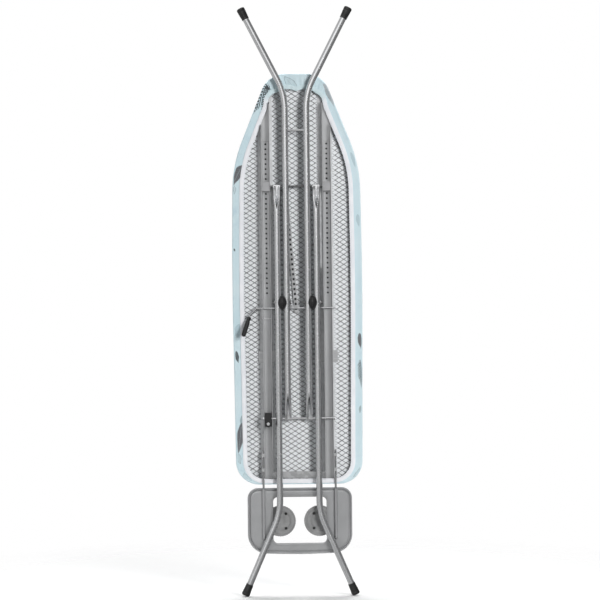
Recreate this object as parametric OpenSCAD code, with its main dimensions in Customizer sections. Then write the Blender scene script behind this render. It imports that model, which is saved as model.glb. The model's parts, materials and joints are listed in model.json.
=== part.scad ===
// Folding ironing board, folded flat and standing upright on its rear feet.
// X runs across the board, Z from the feet up to the nose. The ironing face looks towards +Y
// and the legs lie in front of the underside, towards -Y. Inside each module, depths along Y
// are counted from the back of the steel mesh, and in_frame() moves them into the part's frame.

/* [Board] */
// Height of the nose above the feet
nose_z = 1575; // [1550:1:1600]
// Height of the tail edge above the feet
tail_z = 335; // [325:1:345]
// Half width of the nose, before its corners are rounded
nose_half_w = 82; // [70:1:95]
// Height of the shoulder, where the taper starts
shoulder_z = 1299; // [1250:1:1350]
// Half width at the shoulder
shoulder_half_w = 192.5; // [188:0.5:196]
// Height of the widest line
waist_z = 960; // [900:1:1050]
// Half width at the widest line
waist_half_w = 197; // [195:0.5:200]
// Half width at the tail
tail_half_w = 190.5; // [186:0.5:195]
// Radius of the nose corners
nose_r = 75; // [60:1:90]
// Radius of the shoulders
shoulder_r = 420; // [300:10:500]
// Radius of the tail corners
tail_r = 70; // [50:1:85]

/* [Soft cover] */
// Thickness of the foam pad
pad_t = 6.6; // [4:0.2:8]
// Thickness of the cotton cover
cover_t = 1.2; // [0.8:0.1:1.5]
// How far the cover folds in under the sides
cover_fold = 35; // [30:1:40]
// How far the cover folds in under the nose
cover_nose_fold = 53; // [45:1:60]
// How far the cover folds in under the tail
cover_tail_fold = 17; // [14:1:20]
// Width of the white binding
hem_w = 13; // [10:1:16]

/* [Rails] */
// Distance of each rail's centre from the middle of the board
rail_x = 92; // [88:1:96]
// Outer width of a rail
rail_w = 26; // [24:1:30]
// Depth of a rail's flanges
rail_depth = 22; // [20:1:24]
// Top end of the rails
rail_top_z = 1490; // [1480:1:1500]
// Pitch of the holes in the rail webs
hole_pitch = 15; // [12:1:20]

/* [Legs] */
// Diameter of the leg tubes
tube_d = 19; // [18:0.5:20]
// Wall of the leg tubes
tube_wall = 1.3; // [1:0.1:2]
// Distance of the front legs from the middle
front_x = 32; // [30:0.5:33]
// Distance of the rear legs from the middle
rear_x = 59.3; // [59:0.1:60]
// Height of the front legs' hinge rod
hinge_z = 534; // [520:1:540]
// Height of the cross pivot
pivot_z = 884; // [880:1:890]
// Bend of the front legs
front_bend = 27; // [20:1:30]
// Bend of the rear legs
rear_bend = 23.5; // [18:0.5:26]
// Half distance between the ends of the front feet
front_spread = 163.4; // [150:0.1:180]
// Half distance between the ends of the rear feet
rear_spread = 167.2; // [150:0.1:180]
// Height of the ends of the front feet
front_foot_z = 1770.5; // [1740:0.5:1800]
// Height of the crossbar between the front legs
crossbar_z = 1402; // [1380:1:1420]
// Largest opening of the front legs, degrees
open_angle = 46; // [40:1:46]

/* [Iron rest] */
// Width of the tray
tray_w = 315; // [305:1:325]
// Top edge of the tray
tray_top_z = 325; // [322:1:326]
// Bottom edge of the tray
tray_low_z = 129; // [125:1:135]
// Height of the pads' centres
iron_pad_z = 225; // [220:1:230]
// Radius of the pads
iron_pad_r = 47; // [44:1:48]

/* [Hidden] */
$fn = 48;
fit = 0.05;
// Gap between strips of one bent or sewn sheet that are kept as solids of their own
seam = 0.02;
gap = 0.15;
overlap = 0.5;
steel = [0.72, 0.73, 0.75];
painted = [0.55, 0.56, 0.58];
black = [0.08, 0.08, 0.09];

// Depths, from the back of the mesh
mesh_t = 1.2;
rim_t = 1.6;
rim_depth = 8.6;
rim_inset = cover_t + 0.1;
panel_inset = rim_inset + rim_t + 0.1;
fold_back = -10;
fold_front = fold_back - cover_t;
hem_t = 1.8;
hem_front = fold_front - hem_t;
surface_y = mesh_t + pad_t + cover_t;
rod_y = -11;
tube_y = -26;
saddle_r = 20;
saddle_h = 12;
board_y = (saddle_r - tube_y - surface_y) / 2;

// Rods, rails and legs
rod_r = 3.5;
tube_r = tube_d / 2;
sheet_t = 1.4;
rail_low_z = tail_z + 4;
slide_z = 2 * pivot_z - hinge_z;
leg_arm = norm([pivot_z - hinge_z, tube_y - rod_y]);
rest_angle = atan((rod_y - tube_y) / (pivot_z - hinge_z));
slide_low_z = hinge_z + 2 * leg_arm * cos(open_angle + rest_angle);
bend_r_front = 200;
bend_r_rear = 190;
eye_r = rod_r + fit + 3;
tongue_w = 20;
tongue_t = 3;
spoon_l = 34;
tongue_l = 38;
cap_r = 12.5;
cap_l = 37;
cap_edge = 5;
cap_floor = 4;
rear_foot_z = cap_edge * (1 - cos(rear_bend)) + (cap_r - cap_edge) * sin(rear_bend);
pivot_x = (front_x + rear_x) / 2;
bolt_r = 3;
bolt_hole_r = bolt_r + 0.06;
web_hole_r = 3;
web_hole_low = 913;
web_holes = 31;

// Iron rest
tray_back = -11.8;
tray_front = tray_back - mesh_t;
wire_r = 3;
wire_x = rail_x + rail_w / 2 + wire_r + 0.7;
wire_y = tray_front - wire_r - 0.2;
wire_top_z = 437;
wire_low_z = 176;
iron_pad_x = 59;
iron_pad_t = 3.5;
pad_top = tray_back + iron_pad_t;
plug_x = -16.7;
plug_z = [-22, 22];
window_half_w = 80.5;
window_low_z = 158;
window_top_z = 297;

// Height release
release_r = 2.75;
release_y = -8.5;
release_z = 867;
lever_knee = [-145, -18, 844];
lever_end = [-164, -38, 785];
grip_r = 7;
rack_x = -33;
rack_front = -4.4;
rack_back = -1.6;
rack_w = 12;
rack_low_z = 852;
rack_lean = 4.46;

// Transport lock
lock_x = -rail_x;
lock_z = 520;
lock_w = 20;
lock_reach = 33.5;
lock_back = tube_y - tube_r - 0.5;
lock_t = 4;

// Small geometry helpers
function unit(v) = v / norm(v);
function left_of(v) = [-v.y, v.x];
function turned(v, a) = [v.x * cos(a) - v.y * sin(a), v.x * sin(a) + v.y * cos(a)];

// Corner "here" of a convex outline, after its two edges move inwards by a and b
function moved_corner(prev, here, next, a, b) =
    let(n1 = left_of(unit(here - prev)), n2 = left_of(unit(next - here)))
    here + [a * n2.y - b * n1.y, b * n1.x - a * n2.x] / cross(n1, n2);

// The points of a round corner of radius r
function round_corner(prev, here, next, r) =
    let(u = unit(here - prev), v = unit(next - here), turn = acos(u * v))
    let(centre = here - u * r * tan(turn / 2) + left_of(u) * r, steps = ceil(turn / 7) + 1)
    [for (k = [0:steps]) centre - r * turned(left_of(u), turn * k / steps)];

// A convex outline with rounded corners, each edge moved inwards by its own inset
function rounded(corners, radii, insets) =
    let(n = len(corners))
    let(moved = [for (i = [0:n - 1]) moved_corner(corners[(i + n - 1) % n], corners[i],
        corners[(i + 1) % n], insets[(i + n - 1) % n], insets[i])])
    [for (i = [0:n - 1]) each round_corner(moved[(i + n - 1) % n], moved[i], moved[(i + 1) % n],
        max(radii[i] - min(insets[(i + n - 1) % n], insets[i]), 12))];

// Right half of an outline and its mirror image, counter-clockwise from the lowest right corner
function mirrored(half) =
    concat(half, [for (i = [len(half) - 1:-1:0]) [-half[i].x, half[i].y]]);

function mirrored_list(half) = concat(half, [for (i = [len(half) - 1:-1:0]) half[i]]);

board_corners = mirrored([[tail_half_w, tail_z], [waist_half_w, waist_z],
    [shoulder_half_w, shoulder_z], [nose_half_w, nose_z]]);
board_radii = mirrored_list([tail_r, 6000, shoulder_r, nose_r]);

function board_outline(side, nose, tail) =
    rounded(board_corners, board_radii, [side, side, side, nose, side, side, side, tail]);

module in_frame() {
    translate([0, board_y, 0]) children();
}

// Extrudes an X-Z outline from depth y1 to depth y2
module layer(y1, y2) {
    translate([0, y2, 0]) rotate([90, 0, 0]) linear_extrude(y2 - y1) children();
}

module board_layer(y1, y2, side, nose, tail) {
    layer(y1, y2) polygon(board_outline(side, nose, tail));
}

module block(low, high) {
    translate(low) cube(high - low);
}

module both_sides() {
    children();
    mirror([1, 0, 0]) children();
}

module on_side(side) {
    if (side > 0) children();
    if (side < 0) mirror([1, 0, 0]) children();
}

// Round bar along X between x1 and x2
module bar_x(x1, x2, y, z, r) {
    translate([x1, y, z]) rotate([0, 90, 0]) cylinder(r = r, h = x2 - x1);
}

// Round bar along Y between y1 and y2
module bar_y(x, y1, y2, z, r) {
    translate([x, y2, z]) rotate([90, 0, 0]) cylinder(r = r, h = y2 - y1);
}

module bar_between(a, b, r) {
    d = b - a;
    translate(a) rotate([0, acos(d.z / norm(d)), atan2(d.y, d.x)]) cylinder(r = r, h = norm(d));
}

// The cover's opening on the underside, which the rails and channel reach into
module cover_opening(y1, y2, more) {
    board_layer(y1, y2, cover_fold + more, cover_nose_fold + more, cover_tail_fold + more);
}

// ---- Deck ----
module mesh_panel() {
    color(steel) in_frame() board_layer(0, mesh_t, panel_inset, panel_inset, panel_inset);
}

module panel_rim() {
    color(steel) in_frame() difference() {
        board_layer(-rim_depth, mesh_t, rim_inset, rim_inset, rim_inset);
        board_layer(-rim_depth - 1, mesh_t + 1, rim_inset + rim_t, rim_inset + rim_t,
            rim_inset + rim_t);
    }
}

// Region in front of the rim that lies under the folded edge of the cover
module under_fold() {
    difference() {
        block([-220, -rail_depth - 5, tail_z - 20], [220, -rim_depth, nose_z + 20]);
        cover_opening(-rail_depth - 6, 1, 1);
    }
}

module rail(side) {
    half_w = rail_w / 2;
    inside = half_w - sheet_t;
    color(painted) in_frame() on_side(side) difference() {
        union() {
            block([rail_x - half_w, -rail_depth, rail_low_z], [rail_x - inside, 0, rail_top_z]);
            block([rail_x + inside, -rail_depth, rail_low_z], [rail_x + half_w, 0, rail_top_z]);
            block([rail_x - inside + seam, -sheet_t, rail_low_z],
                [rail_x + inside - seam, 0, rail_top_z]);
        }
        for (k = [0:web_holes - 1])
            bar_y(rail_x, -sheet_t - 1, 1, web_hole_low + k * hole_pitch, web_hole_r);
        bar_x(rail_x - half_w - 1, rail_x + half_w + 1, rod_y, hinge_z, rod_r + fit);
        bar_x(rail_x - half_w - 1, rail_x + half_w + 1, release_y, release_z, release_r + 0.06);
        block([rail_x - half_w - 1, rod_y - rod_r - 0.4, slide_low_z - rod_r - 1],
            [rail_x, rod_y + rod_r + 0.4, slide_z + rod_r + 1]);
        under_fold();
    }
}

module rail_end_plates() {
    half_w = rail_w / 2 - sheet_t - 0.2;
    color(steel) in_frame() both_sides()
        block([rail_x - half_w, -sheet_t - 2.4, 1371], [rail_x + half_w, -sheet_t, rail_top_z - 6]);
}

// Pressed lugs that fasten the rails to the deck, with two ribs each
module rail_saddles() {
    saddle_z = 721;
    reach = 15;
    color(steel) in_frame() both_sides() for (s = [-1, 1])
        translate([rail_x + s * rail_w / 2, 0, saddle_z]) mirror([s < 0 ? 1 : 0, 0, 0]) {
            block([0, -1.4, -18], [reach, 0, 18]);
            block([0, -12, -18], [1.4, 0, 18]);
            for (dz = [-11.7, 11.7]) block([0, -5, dz - 3.5], [reach - 2, 0, dz + 3.5]);
        }
}

module tail_cross_channel() {
    half_w = rail_x - rail_w / 2;
    low_z = tail_z + 18.5;
    color(steel) in_frame() difference() {
        block([-half_w, -rim_depth, low_z], [half_w, 0, low_z + 20]);
        block([-half_w - 1, -rim_depth + sheet_t, low_z + sheet_t], [half_w + 1, 1,
            low_z + 20 - sheet_t]);
    }
}

module hinge_rod() {
    color(steel) in_frame() bar_x(-rail_x - 17, rail_x + 17, rod_y, hinge_z, rod_r);
}

module hinge_rod_caps() {
    cap_x = rail_x + rail_w / 2;
    color(steel) in_frame() both_sides() difference() {
        bar_x(cap_x, cap_x + 3, rod_y, hinge_z, 6.5);
        bar_x(cap_x - 1, cap_x + 5, rod_y, hinge_z, rod_r + fit);
    }
}

// ---- Soft cover ----
module foam_pad() {
    color([0.87, 0.89, 0.9]) in_frame()
        board_layer(mesh_t, mesh_t + pad_t, rim_inset, rim_inset, rim_inset);
}

module cotton_cover() {
    color([0.72, 0.84, 0.88]) in_frame() {
        board_layer(surface_y - cover_t, surface_y, 0, 0, 0);
        difference() {
            board_layer(fold_front, surface_y - cover_t - seam, 0, 0, 0);
            board_layer(fold_back, surface_y, cover_t, cover_t, cover_t);
            cover_opening(fold_front - 1, 0, 0);
        }
    }
}

module hem_ring(y1, y2, inner, outer) {
    difference() {
        cover_opening(y1, y2, -outer);
        cover_opening(y1 - 1, y2 + 1, -inner);
    }
}

module cover_hem() {
    color([0.93, 0.94, 0.96]) in_frame() difference() {
        hem_ring(hem_front, fold_front, 0, hem_w);
        hem_ring(fold_front - 0.9, fold_front + 1, 4, 9);
    }
}

module cover_elastic() {
    color("white") in_frame() hem_ring(fold_front - 0.8, fold_front - 0.1, 4.3, 8.7);
}

// ---- Iron rest ----
function tray_outline(inset) =
    let(half_w = tray_w / 2)
    rounded([[half_w, tray_low_z], [half_w, tray_top_z], [-half_w, tray_top_z],
        [-half_w, tray_low_z], [0, tray_low_z - 5]], [58, 32, 32, 58, 1400],
        [inset, inset, inset, inset, inset]);

function window_outline(inset) =
    rounded([[window_half_w, window_low_z], [window_half_w, window_top_z],
        [-window_half_w, window_top_z], [-window_half_w, window_low_z]], [14, 14, 14, 14],
        [inset, inset, inset, inset]);

module iron_rest_tray() {
    rim_w = 5;
    rim_front = tray_front - 2.2;
    rim_back = tray_back + 2.6;
    color(painted) in_frame() difference() {
        layer(rim_front, rim_back) polygon(tray_outline(0));
        layer(rim_front - 1, tray_front) polygon(tray_outline(rim_w));
        layer(tray_back, rim_back + 1) polygon(tray_outline(rim_w));
        layer(rim_front - 1, rim_back + 1) polygon(window_outline(0));
        both_sides() translate([wire_x, wire_y, tray_low_z]) cylinder(r = wire_r + 0.1, h = 300);
    }
}

module iron_rest_wires() {
    color(steel) in_frame() both_sides() translate([wire_x, wire_y, wire_low_z]) {
        cylinder(r = wire_r, h = wire_top_z - wire_low_z);
        translate([0, 0, wire_top_z - wire_low_z]) sphere(r = wire_r);
    }
}

module wire_clips() {
    flange_x = rail_x + rail_w / 2;
    color(steel) in_frame() both_sides() for (z = [380, 424]) difference() {
        block([flange_x, wire_y - wire_r - 1.2, z - 5], [wire_x + wire_r + 1.2, hem_front - 0.6,
            z + 5]);
        translate([wire_x, wire_y, z - 6]) cylinder(r = wire_r + fit, h = 12);
    }
}

module iron_pad(side) {
    color([0.5, 0.51, 0.52]) in_frame() on_side(side) difference() {
        bar_y(iron_pad_x, tray_back, pad_top, iron_pad_z, iron_pad_r);
        for (dz = plug_z) {
            bar_y(iron_pad_x + plug_x, tray_back - 1, pad_top + 1, iron_pad_z + dz, 3);
            bar_y(iron_pad_x + plug_x, pad_top - 1.3, pad_top + 1, iron_pad_z + dz, 4.4);
        }
    }
}

// Rubber plugs through the pads; their upper heads are sunk just below the pads' faces
module iron_pad_plugs() {
    x = iron_pad_x + plug_x;
    color(black) in_frame() both_sides() for (dz = plug_z) {
        bar_y(x, tray_back, pad_top - 1.25, iron_pad_z + dz, 3 - fit);
        bar_y(x, tray_back - 1.6, tray_back, iron_pad_z + dz, 4.2);
        bar_y(x, pad_top - 1.25, pad_top - 0.05, iron_pad_z + dz, 4.2);
    }
}

// ---- Legs ----
// Tube or bar along a leg: up to the origin, round the bend towards +X, and on by "tail".
// The bend is a little thinner, so that the straight stretches close over its ends.
module bent_bar(r, straight, bend_r, angle, tail) {
    lap = 1;
    translate([0, 0, -straight]) cylinder(r = r, h = straight + lap);
    translate([bend_r, 0, 0]) rotate([90, 0, 180]) rotate_extrude(angle = angle)
        translate([bend_r, 0]) circle(r = r - 0.04);
    translate([bend_r, 0, 0]) rotate([0, angle, 0]) translate([-bend_r, 0, -lap])
        cylinder(r = r, h = tail + lap);
}

// Length of the straight part after the bend, for a foot that lies "out" further from the middle
function tail_length(out, bend_r, angle) = (out - bend_r * (1 - cos(angle))) / sin(angle);

// Rise from the start of the bend to the end of the foot
function foot_rise(out, bend_r, angle) =
    bend_r * sin(angle) + tail_length(out, bend_r, angle) * cos(angle);

// One leg with its foot end up, its pressed flat end down and the eye for its rod.
// The leg stands at x, with its eye at z = 0, its pivot at "pivot" and its foot end at "top".
module leg(x, pivot, top, out, bend_r, angle) {
    tail = tail_length(out, bend_r, angle) - cap_floor;
    bend_z = top - foot_rise(out, bend_r, angle);
    spoon_z = spoon_l + tongue_l;
    tongue_y = tube_y + tube_r - tongue_t;
    difference() {
        union() {
            translate([x, tube_y, bend_z]) bent_bar(tube_r, bend_z - spoon_z, bend_r, angle, tail);
            hull() {
                translate([x, tube_y, spoon_z - 0.5]) cylinder(r = tube_r, h = 0.5, $fn = 24);
                block([x - tongue_w / 2, tongue_y, tongue_l],
                    [x + tongue_w / 2, tongue_y + tongue_t, tongue_l + 0.5]);
            }
            block([x - tongue_w / 2, tongue_y, 0],
                [x + tongue_w / 2, tongue_y + tongue_t, tongue_l]);
            bar_x(x - tongue_w / 2, x + tongue_w / 2, rod_y, 0, eye_r);
        }
        translate([x, tube_y, bend_z])
            bent_bar(tube_r - tube_wall, bend_z - spoon_z - 3, bend_r, angle, tail + 2);
        bar_x(x - tongue_w, x + tongue_w, rod_y, 0, rod_r + fit);
        bar_x(x - tube_d, x + tube_d, tube_y, pivot, bolt_hole_r);
    }
}

module front_leg(side) {
    color(steel) in_frame() on_side(side) translate([0, 0, hinge_z])
        leg(front_x, pivot_z - hinge_z, front_foot_z - hinge_z, front_spread - front_x,
            bend_r_front, front_bend);
}

module rear_leg(side) {
    color(steel) in_frame() on_side(side) translate([0, 0, slide_z]) mirror([0, 0, 1])
        leg(rear_x, slide_z - pivot_z, slide_z - rear_foot_z, rear_spread - rear_x, bend_r_rear,
            rear_bend);
}

// Rubber cap with its closed end at the origin, running down
module foot_cap() {
    difference() {
        rotate_extrude() polygon(concat([[0, -cap_l], [cap_r - 0.8, -cap_l]],
            [for (k = [0:6]) [cap_r - cap_edge + cap_edge * cos(15 * k),
                -cap_edge + cap_edge * sin(15 * k)]], [[0, 0]]));
        translate([0, 0, -cap_l - 1]) cylinder(r = tube_r + fit, h = cap_l + 1 - cap_floor);
    }
}

module front_foot(side) {
    color(black) in_frame() on_side(side) translate([front_spread, tube_y, front_foot_z])
        rotate([0, front_bend, 0]) foot_cap();
}

module rear_foot(side) {
    color(black) in_frame() on_side(side) translate([rear_spread, tube_y, rear_foot_z])
        mirror([0, 0, 1]) rotate([0, rear_bend, 0]) foot_cap();
}

module front_crossbar() {
    color(steel) in_frame() difference() {
        bar_x(-front_x, front_x, tube_y, crossbar_z, rod_r);
        both_sides() translate([front_x, tube_y, crossbar_z - 10])
            cylinder(r = tube_r + fit, h = 20);
    }
}

module slide_rod() {
    color(steel) in_frame() bar_x(-rail_x - 8, rail_x + 8, rod_y, slide_z, rod_r);
}

// Plastic saddle between the tubes: a dome that bulges along +X around the tube at tube_x
module pivot_saddle(tube_x) {
    difference() {
        rotate([0, 90, 0]) rotate_extrude() polygon(concat([[0, 0]],
            [for (k = [0:9]) [saddle_r * cos(10 * k), saddle_h * sin(10 * k)]]));
        translate([tube_x, 0, -saddle_r - 1]) cylinder(r = tube_r + fit, h = 2 * saddle_r + 2);
        bar_x(-1, saddle_h + 1, 0, 0, bolt_hole_r);
    }
}

module front_pivot_saddles() {
    color(black) in_frame() both_sides() translate([pivot_x - gap, tube_y, pivot_z])
        mirror([1, 0, 0]) pivot_saddle(pivot_x - gap - front_x);
}

module rear_pivot_saddles() {
    color(black) in_frame() both_sides() translate([pivot_x + gap, tube_y, pivot_z])
        pivot_saddle(rear_x - pivot_x - gap);
}

module pivot_bolts() {
    head_x = front_x - tube_r - 0.1;
    color(steel) in_frame() both_sides() {
        bar_x(head_x, rear_x + tube_r + 6.4, tube_y, pivot_z, bolt_r);
        bar_x(head_x - 3.6, head_x, tube_y, pivot_z, 5.5);
    }
}

module pivot_washers() {
    washer_x = rear_x + tube_r + 0.1;
    color(steel) in_frame() both_sides() difference() {
        bar_x(washer_x, washer_x + 1, tube_y, pivot_z, 6.2);
        bar_x(washer_x - 1, washer_x + 2, tube_y, pivot_z, bolt_hole_r);
    }
}

module pivot_nuts() {
    nut_x = rear_x + tube_r + 1.2;
    color(steel) in_frame() both_sides() difference() {
        translate([nut_x, tube_y, pivot_z]) rotate([0, 90, 0]) cylinder(r = 5.6, h = 4.6, $fn = 6);
        bar_x(nut_x - 1, nut_x + 6, tube_y, pivot_z, bolt_r + 0.02);
    }
}

// ---- Height adjustment ----
module slider_shoe(side) {
    color([0.75, 0.76, 0.77]) in_frame() on_side(side) difference() {
        block([rail_x - 11, -20, slide_z - 14], [rail_x + 11, -sheet_t - 0.8, slide_z + 14]);
        bar_x(rail_x - 12, rail_x + 12, rod_y, slide_z, rod_r + fit);
    }
}

module height_rack() {
    length = (slide_z - rack_low_z) / cos(rack_lean);
    holes = floor((length - 20) / hole_pitch);
    color(steel) in_frame() difference() {
        union() {
            bar_x(rack_x - 6, rack_x + 6, rod_y, slide_z, rod_r + 1.25);
            block([rack_x - 6, rod_y, slide_z - 4.4], [rack_x + 6, rack_back, slide_z - 2]);
            translate([rack_x, 0, slide_z]) rotate([0, -rack_lean, 0])
                block([-rack_w / 2, rack_front, -length], [rack_w / 2, rack_back, 0]);
        }
        bar_x(rack_x - 8, rack_x + 8, rod_y, slide_z, rod_r + 0.06);
        translate([rack_x, 0, slide_z]) rotate([0, -rack_lean, 0]) for (k = [1:holes])
            block([-3, rack_front - 1, -k * hole_pitch - 14], [3, rack_back + 1,
                -k * hole_pitch - 7]);
    }
}

module release_rod() {
    left_x = -rail_x - 32;
    start = [left_x, release_y, release_z];
    color(steel) in_frame() {
        bar_x(left_x, rail_x + 23, release_y, release_z, release_r);
        bar_between(start + 0.03 * (start - lever_knee), lever_knee + 0.03 * (lever_knee - start),
            release_r);
        bar_between(lever_knee, lever_knee + 0.9 * (lever_end - lever_knee), release_r);
    }
}

module lever_grip() {
    run = lever_end - lever_knee;
    color(black) in_frame() difference() {
        union() {
            bar_between(lever_knee + 0.09 * run, lever_end, grip_r);
            bar_between(lever_knee + 0.9 * run, lever_end + 0.05 * run, grip_r - 2);
        }
        bar_between(lever_knee, lever_knee + 0.92 * run, release_r + fit);
    }
}

module release_catch() {
    sleeve_r = release_r + 0.6;
    color(steel) in_frame() difference() {
        union() {
            bar_x(-30, 6, release_y, release_z, sleeve_r);
            block([-30, release_y, release_z], [6, release_y + sleeve_r - 0.2, release_z + 9]);
        }
        bar_x(-31, 7, release_y, release_z, release_r + fit);
    }
}

module release_clip() {
    clip_x = rail_x + rail_w / 2 + 0.4;
    color(steel) in_frame() difference() {
        bar_x(clip_x, clip_x + 2, release_y, release_z, 5.5);
        bar_x(clip_x - 1, clip_x + 3, release_y, release_z, release_r + fit);
    }
}

// A direction across a wire that runs along "along". It turns evenly as the wire winds round X.
function wire_side(along) =
    unit(cross(along, abs(along.x) > 0.3 ? [-along.z, 0, along.x] : [1, 0, 0]));

// Rings of points round a wire's centre line
function wire_rings(line, r, sides) = [for (i = [0:len(line) - 1])
    let(along = unit(line[min(i + 1, len(line) - 1)] - line[max(i - 1, 0)]))
    let(side = wire_side(along), up = cross(along, side))
    each [for (k = [0:sides - 1]) let(a = 360 * k / sides)
        line[i] + r * (cos(a) * side + sin(a) * up)]];

// A wire swept along its centre line
module wire_along(line, r, sides) {
    last = len(line) - 1;
    walls = [for (i = [0:last - 1], k = [0:sides - 1]) let(a = i * sides, n = (k + 1) % sides)
        each [[a + k, a + sides + n, a + n], [a + k, a + sides + k, a + sides + n]]];
    polyhedron(wire_rings(line, r, sides), concat([[for (k = [0:sides - 1]) k]], walls,
        [[for (k = [sides - 1:-1:0]) last * sides + k]]));
}

// Torsion spring around the release rod, outside the left rail, with a leg across the rail
module release_spring() {
    wire = 0.9;
    coil_r = release_r + 0.5 + wire;
    turns = 6;
    steps = 14;
    pitch = 2.05;
    low_x = -rail_x - rail_w / 2 - 15;
    bend = 4;
    knee = [-rail_x - rail_w / 2 - 2, -rail_depth - 1.6, release_z - 32];
    coil = [for (k = [0:turns * steps]) let(a = 360 * k / steps)
        [low_x + pitch * k / steps, release_y - coil_r * cos(a), release_z - coil_r * sin(a)]];
    above = knee + bend * unit(coil[turns * steps] - knee);
    beyond = knee + [bend, 0, 0];
    corner = [for (k = [0:6]) let(t = k / 6)
        (1 - t) * (1 - t) * above + 2 * t * (1 - t) * knee + t * t * beyond];
    color(steel) in_frame() wire_along(concat(coil, corner,
        [[-rail_x + rail_w / 2 + 1, knee.y, knee.z]]), wire, 6);
}

// ---- Transport lock ----
module transport_lock_base() {
    post_front = lock_back + 0.2;
    color(black) in_frame() difference() {
        union() {
            block([lock_x - lock_w / 2, -rail_depth, lock_z - 9],
                [lock_x + lock_w / 2, -sheet_t, lock_z + 32]);
            bar_y(lock_x, post_front, -rail_depth + overlap, lock_z, 8.5);
        }
        bar_x(lock_x - 12, lock_x + 12, rod_y, hinge_z, rod_r + fit);
        bar_y(lock_x, post_front - 1, -sheet_t - 6, lock_z, 2.5 + fit);
    }
}

module transport_lock_rivet() {
    head_y = lock_back - lock_t - 0.2;
    color(steel) in_frame() {
        bar_y(lock_x, head_y - 1.8, head_y, lock_z, 4.5);
        bar_y(lock_x, head_y, -sheet_t - 7, lock_z, 2.5);
    }
}

// Turning arm: parked along the rail, it swings across the left rear leg
module transport_lock_arm() {
    half_w = lock_w / 2;
    tip_r = 6;
    color(black) in_frame() difference() {
        layer(lock_back - lock_t, lock_back) union() {
            translate([lock_x, lock_z]) circle(r = half_w);
            translate([lock_x - half_w, lock_z]) square([lock_w, lock_reach - tip_r]);
            translate([lock_x - half_w + tip_r, lock_z])
                square([lock_w - 2 * tip_r, lock_reach]);
            for (s = [-1, 1])
                translate([lock_x + s * (half_w - tip_r), lock_z + lock_reach - tip_r])
                    circle(r = tip_r);
        }
        bar_y(lock_x, lock_back - lock_t - 1, lock_back + 1, lock_z, 2.5 + fit);
    }
}

mesh_panel();
panel_rim();
rail(-1);  // rail_left
rail(1);  // rail_right
rail_end_plates();
rail_saddles();
tail_cross_channel();
hinge_rod();
hinge_rod_caps();
foam_pad();
cotton_cover();
cover_hem();
cover_elastic();
iron_rest_tray();
iron_rest_wires();
wire_clips();
iron_pad(-1);  // iron_pad_left
iron_pad(1);  // iron_pad_right
iron_pad_plugs();
release_spring();
transport_lock_base();
transport_lock_rivet();
front_leg(-1);  // front_leg_left
front_leg(1);  // front_leg_right
front_crossbar();
front_foot(-1);  // front_foot_left
front_foot(1);  // front_foot_right
front_pivot_saddles();
pivot_bolts();
pivot_washers();
pivot_nuts();
rear_leg(-1);  // rear_leg_left
rear_leg(1);  // rear_leg_right
slide_rod();
rear_foot(-1);  // rear_foot_left
rear_foot(1);  // rear_foot_right
rear_pivot_saddles();
slider_shoe(-1);  // slider_shoe_left
slider_shoe(1);  // slider_shoe_right
height_rack();
release_rod();
release_catch();
release_clip();
lever_grip();
transport_lock_arm();
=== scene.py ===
"""Looks of the folding ironing board: cloth cover, expanded-steel deck, tubes, iron rest and finishes."""

import json
import math
from contextlib import contextmanager

import bmesh
import bpy
import numpy as np
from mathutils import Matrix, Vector, noise


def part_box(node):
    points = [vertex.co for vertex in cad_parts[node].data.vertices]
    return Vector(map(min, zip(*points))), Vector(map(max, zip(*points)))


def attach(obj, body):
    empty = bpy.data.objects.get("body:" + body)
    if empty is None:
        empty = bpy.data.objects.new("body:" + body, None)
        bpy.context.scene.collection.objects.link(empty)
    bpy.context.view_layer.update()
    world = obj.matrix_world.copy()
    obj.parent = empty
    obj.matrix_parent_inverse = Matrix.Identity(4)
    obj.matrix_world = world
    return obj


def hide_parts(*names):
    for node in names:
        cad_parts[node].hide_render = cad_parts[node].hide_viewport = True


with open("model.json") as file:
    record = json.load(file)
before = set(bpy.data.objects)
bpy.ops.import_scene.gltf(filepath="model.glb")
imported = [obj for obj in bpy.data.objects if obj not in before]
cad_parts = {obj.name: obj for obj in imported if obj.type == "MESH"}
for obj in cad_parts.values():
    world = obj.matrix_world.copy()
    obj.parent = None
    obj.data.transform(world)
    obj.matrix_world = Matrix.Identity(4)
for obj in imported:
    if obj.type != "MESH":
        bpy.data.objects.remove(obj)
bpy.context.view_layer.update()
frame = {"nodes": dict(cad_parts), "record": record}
BODY_OF = {n: b for b, members in frame["record"]["behaviour"]["bodies"].items() for n in members}
MM = 0.001
SIDES = ((-1, "left"), (1, "right"))

# ---- driving sizes, in millimetres
# Right half of the board's outline, tail to nose: half width, height, corner radius
BOARD_HALF = [(190.5, 335, 70), (197, 960, 6000), (192.5, 1299, 420), (82, 1575, 75)]
TAIL_Z, NOSE_Z = BOARD_HALF[0][1], BOARD_HALF[-1][1]
MIDLINE = (TAIL_Z + 150, NOSE_Z - 110)           # heights between which rings close on the middle
FOLD = {"side": 35, "nose": 53, "tail": 17}      # how far the cover folds in under the deck
HEM_W = 13
COVER_EDGE_R = 9                                 # soft edge of the padded top
COVER_SIDE = 22.0                                # length of cloth round the padded edge
TURN_R = 3.5                                     # turn of the cloth under the rim
LEGS = {   # x of the straight tube, height of its eye, bend radius and angle, end of the foot
    "front": {"x": 32, "eye": 534, "bend_r": 200, "turn": 27, "foot": (163.4, 1770.5)},
    "rear": {"x": 59.3, "eye": 1234, "bend_r": 190, "turn": 23.5, "foot": (167.2, 3.4)},
}
TUBE_R = 9.5
PRESSED_L = 72                                   # flattened end of a leg, eye to round tube
FOOT_L = 37
RAIL_X = 92
RAIL_HALF, RAIL_SHEET, RAIL_BEND = 13, 1.4, 4.6  # half width, sheet and bend radius of a rail
RAIL_HOLES = {"low": 913, "pitch": 15, "count": 31, "r": 3.0}
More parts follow.
